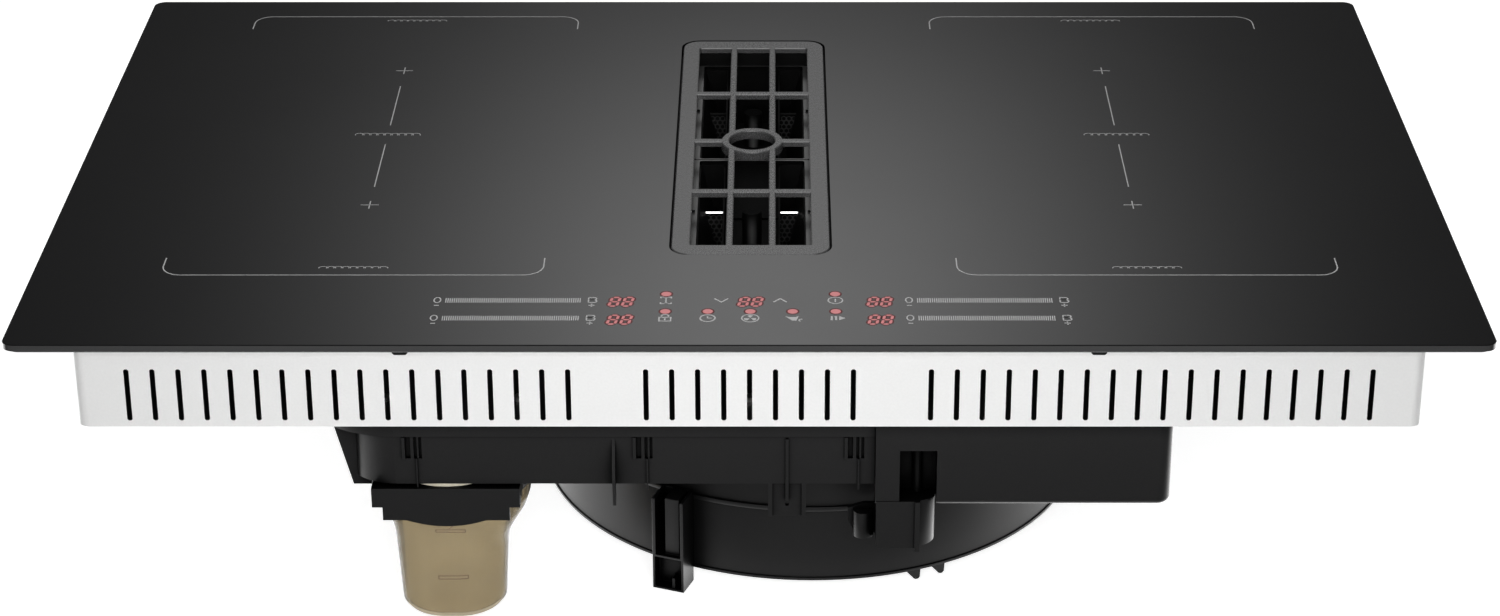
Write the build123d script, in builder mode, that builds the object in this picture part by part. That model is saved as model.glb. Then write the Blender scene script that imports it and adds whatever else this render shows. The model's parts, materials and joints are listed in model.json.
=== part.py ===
from build123d import *
from math import acos, cos, degrees, radians, sin
import os

os.makedirs("parts", exist_ok=True)

# Downdraft induction cooktop, in millimetres. The origin is the centre of the glass on the
# worktop plane, so z = 0 is the underside of the glass. +X is right, +Y is back, +Z is up.

# Glass plate
glass_w = 830
glass_d = 520
glass_t = 4
glass_corner = 8
glass_bevel = 0.5

# Foam strip that seals the glass to the worktop, and the silicone beads under the glass
rim_seal_w = 8
rim_seal_inset = 2
rim_seal_t = 1.5
bond_w = 3
bond_t = 1

# Slotted steel tray
tap_gap = 0.05         # between a screw and the hole that holds it
rim_side = 35          # the glass reaches this far past the tray at the sides
rim_front = 20         # and this far at the front and back
tray_depth = 58
tray_corner = 6
tray_lip = 12
sheet = 1
slot_w = 3
slot_l = 32.5
slot_pitch = 14.6
slot_margin = 29.6     # from the end of the wall to the first slot
slot_foot = 3.9        # from the tray's floor to the foot of a slot
blank_slots = (5, 6)   # places counted from the middle that stay plain
slot_nip = 0.8         # the slots' corners are cut by this much
rear_blank = 11        # the back wall is plain this many places from the middle
vent_w = 5
vent_l = 46
vent_pitch = 9
vent_count = 6

# Intake grille in the middle of the glass
grille_w = 93.4
grille_l = 331
grille_y = 21.7
grille_t = 5
grille_plate = 3.5     # thickness of the bars
grille_foot_w = 5      # the rim stands on a foot this wide
grille_gap = 1.2
grille_corner = 11
grille_side = 10.9
grille_end = 12.8
grille_bevel = 0.6
bar_w = 4
cross_bar_w = 5
long_bar_pitch = 25.4
cross_pitch = 76
ring_outer = 19.4
ring_inner = 14.4
ring_depth = 5.5
ring_rib_w = 1.2

# Well under the grille
well_gap = 1.6         # round the grille, at its ledge
well_wall = 2.5
well_flange = 8
duct_w = 78
duct_l = 311
seat_gap = 0.2
filter_ledge_w = 3
filter_ledge_t = 2
well_tail = 2          # how far the duct reaches below the tray

# Grease filters, two alike, one behind the other
filter_clear = 0.8
filter_top = 9.5       # below the worktop plane
filter_rim_t = 2.5
filter_rim_w = 5.2
filter_end_w = 1.2     # the rim is narrow at both ends
filter_split = 1
basket_depth = 40
basket_top_x = 34.6
basket_foot_x = 23
core_x = 16.5
basket_wall = 1
baffle_y = 34          # the upright mesh in each basket, behind the filter's middle
baffle_drop = 14
post_r = 6
post_y = 41
post_drop = 16         # the post ends this far below the rim
tab_w = 2.4
tab_h = 1.6

# Induction coils, two in each zone, on a carrier that fills its half of the tray
coil_side_room = 43    # from the carrier to the tray's side wall
coil_mid_room = 123    # and to the middle of the tray
coil_front_room = 72   # and to the front wall, behind the controls
coil_rear_room = 12
coil_margin = 7        # from the carrier's edge to the wire at the sides
coil_gap = 8           # between the two coils
coil_corner = 58
coil_eye_w = 66
coil_eye_d = 54
coil_eye_corner = 22
winding_t = 5
former_t = 3
former_rim = 2
mica_t = 0.5
ferrite_short = 15     # a bar ends this far inside the wire's outer edge
ferrite_w = 12
ferrite_t = 4
ferrite_count = 8
sensor_r = 7
carrier_t = 1.5
carrier_edge = 8
spring_post_r = 4
spring_post_in = 22    # from the carrier's sides
spring_post_rear = 13  # from its back edge
spring_post_gap = 14   # from the blower in front

# Power electronics in the tray
board_t = 1.6
board_lift = 5
power_board_w = 150
board_front_room = 170 # from the tray's front wall
board_rear_room = 80
sink_w = 38
sink_short = 100       # the heat sink is this much shorter than its board
sink_room = 16
standoff_w = 5
sink_base = 4
sink_h = 24
fin_t = 1.6
fin_count = 8
capacitor_r = 11
capacitor_h = 22
choke_r = 15
choke_h = 12
choke_room = 39        # from the board's back edge to the choke
capacitor_pitch = 30
capacitor_room = 46    # from the choke to the first capacitor

# Blowers that cool the electronics
blower_side_room = 105 # from the tray's side wall to the wheel's middle
blower_front_room = 100
blower_w = 84
blower_h = 22
blower_wall = 2
blower_mouth = 31
blower_wheel_r = 36
blower_wheel_h = 13
blower_blades = 13
blade_t = 1.2
running_gap = 1
pin_r = 2
pin_gap = 0.05

# Touch control and displays under the front of the glass
control_w = 390
control_d = 40
control_room = 22.5    # from the tray's front wall to the middle of the board
control_z = 8
display_w = 17
display_d = 14
display_x = 73.5
display_rows = 22.5
bracket_t = 2
bracket_rib_h = 6

# Supply terminals and cable gland at the back of the tray
terminal_w = 80
terminal_d = 55
terminal_h = 34
gland_side_room = 110  # from the tray's side wall
gland_drop = 32
gland_bore_r = 6
gland_thread_r = 10
gland_hex_r = 14
gland_hex_l = 8
gland_l = 30

# Moulded air box under the tray, and its foam seal
box_seal_t = 2
box_wall = 2.5
box_floor = 108.6      # depth of its underside below the worktop plane
box_front_room = 24    # from the tray's front wall
box_rear_room = 40
box_left = 228
box_split = 72         # the driver box begins here
box_right = 140
box_waist = 92
box_waist_run = 178    # from the front to the corner of the waist
box_corner = 9
bow_w = 23             # the front bends back over this width at its left end
bow_d = 10.5
box_band = 0.8         # thicker band along the top
box_band_h = 17.4
band_bow_w = 35.4      # the band bends round a wider corner
band_bow_d = 11.8
box_boss_r = 5
boss_row = 40          # steps between the screws beside the waist
boss_rear = 30         # from the box's back wall to the last screws
side_boss_x = -198
side_boss_run = 134
pod_top = 16.9         # a hollow wedge on the left wall, this wide at its top
pod_foot = 2.9
pod_in = 7.5
pod_drop = 6.3         # it reaches this far below the floor
pod_run = 130          # from the front to its back end
clip_x = (-194, -61, 61)
clip_w = 9.6
clip_h = 14
clip_ribs = ((-0.8, 1.8), (2.5, 1))
clip_edge_w = 1.8
clip_line_drop = 3.5
clip_top = 78
clip_depth = 1.6
clip_line = 0.9
fin_x = -78.7
fin_reach = 6
fin_top = 79
fin_drop = 14
tab_x = 21.3
tab_plate_w = 22
tab_drop = 22
tab_wing_w = 2.5
tab_wing_d = 12
tab_inset = 1.2
tab_hole_r = 1.2

# Driver box on the right of the air box
driver_gap = 0.3
driver_right = 243.5
driver_step = 3        # its face stands in front of the air box
driver_depth = 108
driver_floor = 121.5
driver_corner = 8
driver_edge = 4        # the underside's edges are rounded
pocket_x = 97
pocket_w = 21.5
pocket_h = 36
pocket_depth = 16
pocket_ridge_r = 3
foot_h = 28.5
foot_w = 22.5
foot_depth = 40
foot_round = 12
foot_rib = 3
foot_boss_r = 6
foot_boss_h = 16.6
foot_boss_lift = 1.5
foot_boss_back = 8
foot_arm = 3
foot_gusset = 9
foot_screw_l = 10
driver_board_w = 140
driver_board_d = 80
driver_board_lift = 4
driver_board_in = 8
driver_board_back = 7
driver_part_x = 30
driver_part_h = 22

# Round fan casing under the air box
drum_x = 37
drum_run = 221         # from the air box's front to the fan's axis
drum_r = 170
drum_wall = 2.5
drum_top = 123
drum_joint = 156.6
drum_floor = 204
drum_upper_step = 1.5
drum_flange = 0.6
drum_flange_h = 3
inlet_r = 76
inlet_lip = 2
ear_r = 7
ear_out = 4.5
ear_side_angle = 27
ear_spout_gap = 12.4   # from the spout's side to the middle of an ear
lug_drop = 7
lug_t = 3
lug_angles = (-68.6, -63)
foot_rim = 1.2
foot_rim_h = 2
floor_rib_count = 8
floor_rib_h = 3
floor_rib_t = 2

# Outlet at the back
duct_out_w = 222
duct_out_h = 89
spout_run = 203        # from the fan's axis
collar_flange = 8
collar_flange_t = 3
collar_l = 38

# Fan wheel and motor
wheel_r = 105
wheel_eye_r = 78
wheel_foot = 196
wheel_h = 62
wheel_plate = 2.5
wheel_ring = 3
vane_count = 24
vane_t = 1.6
vane_sweep = 20        # degrees that a vane runs ahead from its eye to its tip
hub_r = 48
hub_wall = 2.5
motor_r = 42
motor_flange_r = 62
motor_h = 47
motor_flange_t = 3
motor_hole_r = 52
shaft_r = 4
shaft_gap = 0.05

# Overflow cup, its holder, drain ring and seal
cup_x = -176.5
drain_run = 36         # from the air box's front to the middle of the ring
drain_outer = 35
drain_inner = 31
drain_l = 14
holder_w = 86
holder_step = 2        # its face stands in front of the air box
holder_top = 111
holder_t = 12.4
holder_apron = 8.5
apron_inset = 6.1
apron_t = 3
apron_lobe_w = 46
apron_lobe = 4
holder_boss_r = 3
holder_boss_in = 3.5
cup_seal_t = 1.5
cup_gap = 0.3
cup_wall = 1.6
cup_mouth_w = 86
cup_mouth_d = 92
cup_mouth_x = -173
cup_mouth_back = 13.5  # behind the middle of the drain ring
cup_mouth_r = 34
cup_depth = 80
cup_rim_h = 6
cup_waist_drop = 38

# Support leg beside the casing
leg_x = -50.3
leg_run = 167.5        # in front of the fan's axis
leg_turn = -20.6
leg_w = 20
leg_d = 26
leg_wall = 2
leg_skin = 1.4
leg_top = 151
leg_foot = 213
leg_block = 23.5
leg_panel_x = 1.8
leg_panel_w = 9
leg_panel_in = 3
leg_rib_x = 3
leg_rib_h = 7
leg_seat = 0.1

# Fasteners
screw_r = 2
screw_head_r = 3.8
screw_head_h = 2.4
screw_clear = 0.25
screw_l = 16
clamp_w = 26
clamp_l = 40
clamp_t = 1.5
clamp_reach = 11
clamp_y = 120
clamp_z = 12
clip_block_x = 195.6
clip_block_w = 9
clip_block_h = 9
clip_block_t = 4

# Worked out from the sizes above
tray_w = glass_w - 2 * rim_side
tray_d = glass_d - 2 * rim_front
tray_floor = -tray_depth + sheet
carrier_w = tray_w / 2 - coil_side_room - coil_mid_room
carrier_d = tray_d - coil_front_room - coil_rear_room
zone_x = coil_mid_room + carrier_w / 2
zone_y = (coil_front_room - coil_rear_room) / 2
coil_pitch = (carrier_d - coil_gap / 2) / 2
coil_w = carrier_w - 2 * coil_margin
coil_d = coil_pitch - coil_gap
blower_x = tray_w / 2 - blower_side_room
blower_y = -tray_d / 2 + blower_front_room
power_board_d = tray_d - board_front_room - board_rear_room
power_board_x = tray_w / 2 - coil_side_room - power_board_w / 2
power_board_y = (board_front_room - board_rear_room) / 2
sink_l = power_board_d - sink_short
control_y = -tray_d / 2 + control_room
gland_x = tray_w / 2 - gland_side_room
box_front = tray_d / 2 - box_front_room
box_rear = tray_d / 2 - box_rear_room
box_waist_y = -box_front + box_waist_run
drum_y = -box_front + drum_run
spout_end = drum_y + spout_run
drain_y = -box_front + drain_run
holder_front = box_front + holder_step
cup_mouth_y = drain_y + cup_mouth_back
leg_y = drum_y - leg_run
slot_z = -tray_depth + slot_foot + slot_l / 2
ledge_z = glass_t - grille_t - seat_gap
well_w = grille_w + 2 * well_gap
well_l = grille_l + 2 * well_gap
filter_w = duct_w - 2 * filter_clear
filter_l = (duct_l - 2 * filter_clear - filter_split) / 2
filter_foot = -filter_top - filter_rim_t
coil_z = -bond_t - mica_t
former_z = coil_z - winding_t - former_t
ferrite_z = former_z - ferrite_t
carrier_z = ferrite_z - carrier_t
board_z = tray_floor + board_lift
box_z = -tray_depth - box_seal_t
wheel_top = -wheel_foot + wheel_h
drum_inner = drum_r - drum_wall
cup_top = -holder_top - holder_t - cup_seal_t - cup_gap
coil_places = {
    "front_left": (-zone_x, zone_y - coil_pitch / 2),
    "rear_left": (-zone_x, zone_y + coil_pitch / 2),
    "front_right": (zone_x, zone_y - coil_pitch / 2),
    "rear_right": (zone_x, zone_y + coil_pitch / 2),
}


def finish(builder, label):
    """Name a finished piece and write its file."""
    builder.part.label = label
    export_step(builder.part, f"parts/{label}.step")


def slab(width, depth, corner, low, high, centre=(0, 0), mode=Mode.ADD):
    """Add or cut an upright block, its corners rounded if there is a radius, from low to high."""
    with BuildSketch(Plane.XY.offset(low)) as plan:
        with Locations(centre):
            if corner:
                RectangleRounded(width, depth, corner)
            else:
                Rectangle(width, depth)
    extrude(plan.sketch, amount=high - low, mode=mode)


def disc(radius, low, high, centres=((0, 0),), mode=Mode.ADD):
    """Add or cut round posts, from low to high."""
    with BuildSketch(Plane.XY.offset(low)) as plan:
        with Locations(*centres):
            Circle(radius)
    extrude(plan.sketch, amount=high - low, mode=mode)


def prism(sides, radius, low, high, centres, mode=Mode.ADD):
    """Add or cut posts with this many sides, from low to high."""
    with BuildSketch(Plane.XY.offset(low)) as plan:
        with Locations(*centres):
            RegularPolygon(radius, sides)
    extrude(plan.sketch, amount=high - low, mode=mode)


def block(left, right, front, back, low, high, mode=Mode.ADD):
    """Add or cut a plain box between the given sides."""
    with BuildSketch(Plane.XY.offset(low)) as plan:
        with Locations(((left + right) / 2, (front + back) / 2)):
            Rectangle(right - left, back - front)
    extrude(plan.sketch, amount=high - low, mode=mode)


# ---- Glass and what joins it ----

with BuildPart() as glass_top:
    slab(glass_w, glass_d, glass_corner, 0, glass_t)
    chamfer(glass_top.edges().group_by(Axis.Z)[-1], glass_bevel)
    slab(
        grille_w + 2 * grille_gap, grille_l + 2 * grille_gap, grille_corner + grille_gap,
        0, glass_t, (0, grille_y), Mode.SUBTRACT,
    )
finish(glass_top, "glass_top")

with BuildPart() as rim_seal:
    seal_w = glass_w - 2 * rim_seal_inset
    seal_d = glass_d - 2 * rim_seal_inset
    slab(seal_w, seal_d, glass_corner, -rim_seal_t, 0)
    slab(
        seal_w - 2 * rim_seal_w, seal_d - 2 * rim_seal_w, 0,
        -rim_seal_t, 0, mode=Mode.SUBTRACT,
    )
finish(rim_seal, "rim_seal")

# The outer bead joins the tray to the glass, the inner bead the well
with BuildPart() as glass_bond:
    slab(tray_w - 2, tray_d - 2, tray_corner, -bond_t, 0)
    slab(
        tray_w - 2 - 2 * bond_w, tray_d - 2 - 2 * bond_w, 0,
        -bond_t, 0, mode=Mode.SUBTRACT,
    )
    slab(
        well_w + 2 * well_flange, well_l + 2 * well_flange, grille_corner + well_flange,
        -bond_t, 0, (0, grille_y),
    )
    slab(well_w, well_l, grille_corner, -bond_t, 0, (0, grille_y), Mode.SUBTRACT)
finish(glass_bond, "glass_bond")

# ---- Tray ----

front_wall = Plane.XZ.offset(tray_d / 2)
rear_wall = Plane.XZ.offset(-tray_d / 2)
slot_reach = int((tray_w / 2 - slot_margin) / slot_pitch)
slot_steps = [n for n in range(-slot_reach, slot_reach + 1) if abs(n) not in blank_slots]
rear_steps = [n for n in slot_steps if abs(n) >= rear_blank]
boss_in = box_wall + box_boss_r - 1
box_screws = [
    (-box_left + boss_in + bow_w / 2, -box_front + boss_in),
    (-box_waist - boss_row, -box_front + boss_in),
    (0, -box_front + boss_in),
    (box_right - boss_in, box_rear / 2 - boss_rear),
    (box_right - boss_in, box_rear - boss_rear),
    (-box_waist + boss_in, box_rear - boss_rear),
    (-box_waist + boss_in, box_waist_y + 2 * boss_row - 2),
    (side_boss_x, -box_front + side_boss_run),
]

# A band of sheet with a lip at its top, welded round a flat floor
corner_signs = [(-1, -1), (1, -1), (1, 1), (-1, 1)]
with BuildPart() as tray_band:
    slab(tray_w, tray_d, tray_corner, -tray_depth, -bond_t)
    slab(
        tray_w - 2 * sheet, tray_d - 2 * sheet, tray_corner - sheet,
        -tray_depth, -bond_t - sheet, mode=Mode.SUBTRACT,
    )
    slab(
        tray_w - 2 * tray_lip, tray_d - 2 * tray_lip, 0,
        -bond_t - sheet, -bond_t, mode=Mode.SUBTRACT,
    )
    # Notch in the front lip for the displays
    block(
        -control_w / 2 - 2, control_w / 2 + 2, -tray_d / 2 + 2 * sheet, -tray_d / 2 + tray_lip,
        -bond_t - sheet, -bond_t, Mode.SUBTRACT,
    )
    # Cooling slots
    with BuildSketch(front_wall) as slots:
        with Locations(*[(n * slot_pitch, slot_z) for n in slot_steps]):
            Rectangle(slot_w, slot_l)
        chamfer(slots.vertices(), slot_nip)
    extrude(amount=-2 * sheet, mode=Mode.SUBTRACT)
    with BuildSketch(rear_wall):
        with Locations(*[(n * slot_pitch, slot_z) for n in rear_steps]):
            Rectangle(slot_w, slot_l)
    extrude(amount=2 * sheet, mode=Mode.SUBTRACT)
    with BuildSketch(rear_wall):
        with Locations((gland_x, -gland_drop)):
            Circle(gland_thread_r + screw_clear)
    extrude(amount=2 * sheet, mode=Mode.SUBTRACT)

with BuildPart() as tray_sheet:
    slab(
        tray_w - 2 * sheet, tray_d - 2 * sheet, tray_corner - sheet,
        -tray_depth, tray_floor,
    )
    # Openings for the air duct, the blowers and the screws
    slab(
        duct_w + 2 * well_wall + 2, duct_l + 2 * well_wall + 2, 0,
        -tray_depth, tray_floor, (0, grille_y), Mode.SUBTRACT,
    )
    with BuildSketch(Plane.XY.offset(-tray_depth)):
        for side in (-1, 1):
            with Locations((side * blower_x, blower_y)):
                with GridLocations(vent_pitch, 0, vent_count, 1):
                    Rectangle(vent_w, vent_l)
    extrude(amount=sheet, mode=Mode.SUBTRACT)
    prism(6, screw_r + screw_clear, -tray_depth, tray_floor, box_screws, Mode.SUBTRACT)

# The band is four folded walls, mitred at the corners
mitre_out = [(x * (tray_w / 2 + 1), y * (tray_d / 2 + 1)) for x, y in corner_signs]
mitre_in = [
    (x * (tray_w / 2 - 2 * tray_lip), y * (tray_d / 2 - 2 * tray_lip)) for x, y in corner_signs
]
tray_pieces = tray_sheet.part.solids()
for n in range(4):
    with BuildPart() as tray_wall:
        add(tray_band.part)
        with BuildSketch(Plane.XY.offset(-tray_depth)):
            with BuildLine():
                Polyline(mitre_out[n - 1], mitre_out[n], mitre_in[n], mitre_in[n - 1], close=True)
            make_face()
        extrude(amount=tray_depth - bond_t, mode=Mode.INTERSECT)
    tray_pieces += tray_wall.part.solids()

housing_tray = Compound(tray_pieces)
housing_tray.label = "housing_tray"
export_step(housing_tray, "parts/housing_tray.step")

# Black blocks that hook the tray's front and back walls to the glass, and a round one between
with BuildPart() as edge_clips:
    for side in (-1, 1):
        with BuildSketch(Plane.XZ.offset(side * tray_d / 2)) as blocks:
            with Locations(*[(x, -1.5 - clip_block_h / 2) for x in (-clip_block_x, clip_block_x)]):
                Rectangle(clip_block_w, clip_block_h)
            chamfer(blocks.vertices(), 1)
        extrude(amount=side * clip_block_t)
finish(edge_clips, "edge_clips")

with BuildPart() as centre_stud:
    with BuildSketch(front_wall):
        with Locations((0, -1.5 - clip_block_h / 2)):
            Circle(clip_block_h / 4)
    extrude(amount=clip_block_t)
finish(centre_stud, "centre_stud")

# Spring clamps on the side walls that pull the cooktop down in its cut-out
with BuildPart() as hold_down_clamps:
    for side in (-1, 1):
        with BuildSketch(Plane.XZ.offset(clamp_y - clamp_w / 2)):
            with BuildLine():
                Polyline(
                    (side * tray_w / 2, -clamp_z),
                    (side * (tray_w / 2 + clamp_t), -clamp_z),
                    (side * (tray_w / 2 + clamp_t), -clamp_z - clamp_l / 2),
                    (side * (tray_w / 2 + clamp_reach), -clamp_z - clamp_l / 2 + clamp_reach),
                    (side * (tray_w / 2 + clamp_reach), -clamp_z - clamp_l / 2 + clamp_reach - 2),
                    (side * (tray_w / 2 + clamp_t), -clamp_z - clamp_l / 2 - 2),
                    (side * (tray_w / 2 + clamp_t), -clamp_z - clamp_l),
                    (side * tray_w / 2, -clamp_z - clamp_l),
                    close=True,
                )
            make_face()
        extrude(amount=clamp_w)
    mirror(about=Plane.XZ)
finish(hold_down_clamps, "hold_down_clamps")

with BuildPart() as clamp_screws:
    for side in (-1, 1):
        with BuildSketch(Plane.YZ.offset(side * (tray_w / 2 + clamp_t))):
            with Locations(*[(y, -clamp_z - clamp_l + 8) for y in (-clamp_y, clamp_y)]):
                RegularPolygon(screw_head_r, 6)
        extrude(amount=side * screw_head_h)
finish(clamp_screws, "clamp_screws")

with BuildPart() as box_screw_set:
    prism(6, screw_head_r, tray_floor, tray_floor + screw_head_h, box_screws)
    prism(6, screw_r, tray_floor - screw_l, tray_floor, box_screws)
finish(box_screw_set, "box_screws")

# ---- Coils, one stack in each corner ----

eye = min(coil_eye_w, coil_eye_d) / 2
ferrite_l = coil_d / 2 - eye - ferrite_short

for place, (x, y) in coil_places.items():
    with BuildPart() as winding:
        slab(coil_w, coil_d, coil_corner, coil_z - winding_t, coil_z, (x, y))
        slab(
            coil_eye_w, coil_eye_d, coil_eye_corner,
            coil_z - winding_t, coil_z, (x, y), Mode.SUBTRACT,
        )
    finish(winding, f"coil_winding_{place}")

    with BuildPart() as former:
        slab(
            coil_w + 2 * former_rim, coil_d + 2 * former_rim, coil_corner + former_rim,
            former_z, coil_z - winding_t, (x, y),
        )
        prism(8, sensor_r + screw_clear, former_z, coil_z - winding_t, [(x, y)], Mode.SUBTRACT)
        # Windows between the spokes let cooling air reach the wire
        with BuildSketch(Plane.XY.offset(former_z)):
            with Locations((x, y)):
                with PolarLocations((eye + coil_d / 2) / 2 + 4, ferrite_count, 180 / ferrite_count):
                    Rectangle(ferrite_l - ferrite_short / 2, ferrite_w)
        extrude(amount=former_t, mode=Mode.SUBTRACT)
    finish(former, f"coil_former_{place}")

for side_name, side in (("left", -1), ("right", 1)):
    with BuildPart() as ferrites:
        for y in (zone_y - coil_pitch / 2, zone_y + coil_pitch / 2):
            with BuildSketch(Plane.XY.offset(ferrite_z)):
                with Locations((side * zone_x, y)):
                    with PolarLocations((eye + coil_d / 2) / 2 + 4, ferrite_count):
                        Rectangle(ferrite_l, ferrite_w)
            extrude(amount=ferrite_t)
    finish(ferrites, f"ferrites_{side_name}")

    with BuildPart() as carrier:
        slab(carrier_w, carrier_d, 0, carrier_z - carrier_edge, ferrite_z, (side * zone_x, zone_y))
        slab(
            carrier_w - 2 * carrier_t, carrier_d - 2 * carrier_t, 0,
            carrier_z - carrier_edge, carrier_z, (side * zone_x, zone_y), Mode.SUBTRACT,
        )
        # Windows under the eyes keep the plate light
        with BuildSketch(Plane.XY.offset(carrier_z)):
            with Locations((side * zone_x, zone_y)):
                with GridLocations(0, coil_pitch, 1, 2):
                    RegularPolygon(eye - 4, 8)
        extrude(amount=carrier_t, mode=Mode.SUBTRACT)
    finish(carrier, f"coil_carrier_{side_name}")

post_in = carrier_w / 2 - spring_post_in
post_xs = [side * zone_x + step for side in (-1, 1) for step in (-post_in, post_in)]
post_ys = (
    blower_y + blower_w / 2 + spring_post_gap,
    zone_y + carrier_d / 2 - spring_post_rear,
)
with BuildPart() as spring_posts:
    prism(6, spring_post_r, tray_floor, carrier_z, [(x, y) for x in post_xs for y in post_ys])
finish(spring_posts, "spring_posts")

with BuildPart() as mica_sheets:
    for side in (-1, 1):
        slab(carrier_w, carrier_d, 0, coil_z, coil_z + mica_t, (side * zone_x, zone_y))
finish(mica_sheets, "mica_sheets")

with BuildPart() as sensors:
    prism(8, sensor_r, former_z, coil_z, list(coil_places.values()))
finish(sensors, "temperature_sensors")

# ---- Electronics, blowers and supply ----

for side_name, side in (("left", -1), ("right", 1)):
    board_x = side * power_board_x
    with BuildPart() as power_board:
        slab(
            power_board_w, power_board_d, 0, board_z, board_z + board_t,
            (board_x, power_board_y),
        )
        spacing_x = power_board_w - 12
        spacing_y = power_board_d - 12
        with BuildSketch(Plane.XY.offset(tray_floor)):
            with Locations((board_x, power_board_y)):
                with GridLocations(spacing_x, spacing_y, 2, 2):
                    Rectangle(standoff_w, standoff_w)
        extrude(amount=board_lift)
        # Smoothing capacitors and a choke stand beside the heat sink
        top = board_z + board_t
        column_x = board_x + side * (power_board_w / 2 - capacitor_r - 10)
        choke_y = power_board_y + power_board_d / 2 - choke_room
        columns = [(column_x, choke_y - capacitor_room - n * capacitor_pitch) for n in range(3)]
        prism(10, capacitor_r, top, top + capacitor_h, columns)
        prism(10, choke_r, top, top + choke_h, [(column_x, choke_y)])
    finish(power_board, f"power_board_{side_name}")

    with BuildPart() as heat_sink:
        sink_x = board_x - side * (power_board_w / 2 - sink_w / 2 - sink_room)
        base = board_z + board_t
        slab(sink_w, sink_l, 0, base, base + sink_base, (sink_x, power_board_y))
        with BuildSketch(Plane.XY.offset(base + sink_base)):
            with Locations((sink_x, power_board_y)):
                with GridLocations((sink_w - fin_t) / (fin_count - 1), 0, fin_count, 1):
                    Rectangle(fin_t, sink_l)
        extrude(amount=sink_h - sink_base)
    finish(heat_sink, f"heat_sink_{side_name}")

    with BuildPart() as blower:
        x = side * blower_x
        slab(blower_w, blower_w, 8, tray_floor, tray_floor + blower_h, (x, blower_y))
        disc(
            blower_wheel_r + running_gap, tray_floor + blower_wall,
            tray_floor + blower_h - blower_wall, [(x, blower_y)], Mode.SUBTRACT,
        )
        # Air comes in through the floor and leaves at the back, towards the heat sink
        disc(blower_mouth, tray_floor, tray_floor + blower_wall, [(x, blower_y)], Mode.SUBTRACT)
        block(
            x - blower_wheel_r, x + blower_wheel_r, blower_y, blower_y + blower_w,
            tray_floor + blower_wall, tray_floor + blower_h - blower_wall, Mode.SUBTRACT,
        )
        disc(
            pin_r, tray_floor + blower_wall + running_gap,
            tray_floor + blower_h - blower_wall, [(x, blower_y)],
        )
    finish(blower, f"blower_case_{side_name}")

    with BuildPart() as blower_wheel:
        foot = tray_floor + blower_wall + running_gap
        top = foot + blower_wheel_h
        disc(blower_wheel_r - 2, top - 1.5, top, [(x, blower_y)])
        disc(10, foot, top, [(x, blower_y)])
        with BuildSketch(Plane.XY.offset(foot)):
            with Locations((x, blower_y)):
                with PolarLocations(blower_wheel_r - 7, blower_blades):
                    Rectangle(10, blade_t, rotation=35)
        extrude(amount=blower_wheel_h)
        disc(pin_r + pin_gap, foot, top, [(x, blower_y)], Mode.SUBTRACT)
    finish(blower_wheel, f"blower_wheel_{side_name}")

control_top = -control_z
with BuildPart() as control_board:
    slab(control_w, control_d, 0, control_top - board_t, control_top, (0, control_y))
finish(control_board, "control_board")

displays = [(0, control_y + display_rows / 2)]
for x in (-display_x, display_x):
    displays.append((x, control_y - display_rows / 2))
    displays.append((x, control_y + display_rows / 2))
with BuildPart() as display_modules:
    with BuildSketch(Plane.XY.offset(control_top)):
        with Locations(*displays):
            Rectangle(display_w, display_d)
    extrude(amount=control_z - bond_t)
finish(display_modules, "display_modules")

with BuildPart() as control_bracket:
    low = control_top - board_t - bracket_t
    slab(control_w + 6, control_d + 2, 0, low, control_top - board_t, (0, control_y))
    with BuildSketch(Plane.XY.offset(low - bracket_rib_h)):
        with Locations((0, control_y)):
            with GridLocations(0, control_d - 8, 1, 2):
                Rectangle(control_w, bracket_t)
            with GridLocations(control_w / 6, 0, 6, 1):
                Rectangle(bracket_t, control_d - 8)
    extrude(amount=bracket_rib_h)
finish(control_bracket, "control_bracket")

terminal_y = tray_d / 2 - sheet - terminal_d / 2 - 12
with BuildPart() as terminal_box:
    slab(
        terminal_w, terminal_d, 0, tray_floor, tray_floor + terminal_h,
        (gland_x, terminal_y),
    )
    slab(
        terminal_w - 4, terminal_d - 4, 0, tray_floor + 2, tray_floor + terminal_h - 2,
        (gland_x, terminal_y), Mode.SUBTRACT,
    )
    with BuildSketch(Plane.XZ.offset(-terminal_y - terminal_d / 2)):
        with Locations((gland_x, -gland_drop)):
            Circle(gland_bore_r + 1)
    extrude(amount=4, mode=Mode.SUBTRACT)
finish(terminal_box, "terminal_box")

gland_nut_y = tray_d / 2 + gland_hex_l
with BuildPart() as cable_gland:
    with BuildSketch(rear_wall):
        with Locations((gland_x, -gland_drop)):
            RegularPolygon(gland_hex_r, 6)
    extrude(amount=-gland_hex_l)
    with BuildSketch(Plane.XZ.offset(-gland_nut_y)):
        with Locations((gland_x, -gland_drop)):
            Circle(gland_thread_r)
    extrude(amount=-(gland_l - gland_hex_l) / 2)
    with BuildSketch(rear_wall):
        with Locations((gland_x, -gland_drop)):
            Circle(gland_thread_r)
    extrude(amount=(gland_l - gland_hex_l) / 2)
    with BuildSketch(Plane.XZ.offset(-tray_d / 2 - gland_l)):
        with Locations((gland_x, -gland_drop)):
            Circle(gland_bore_r)
    extrude(amount=3 * gland_l, mode=Mode.SUBTRACT)
finish(cable_gland, "cable_gland")

# ---- Grille, well and filters ----

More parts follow.
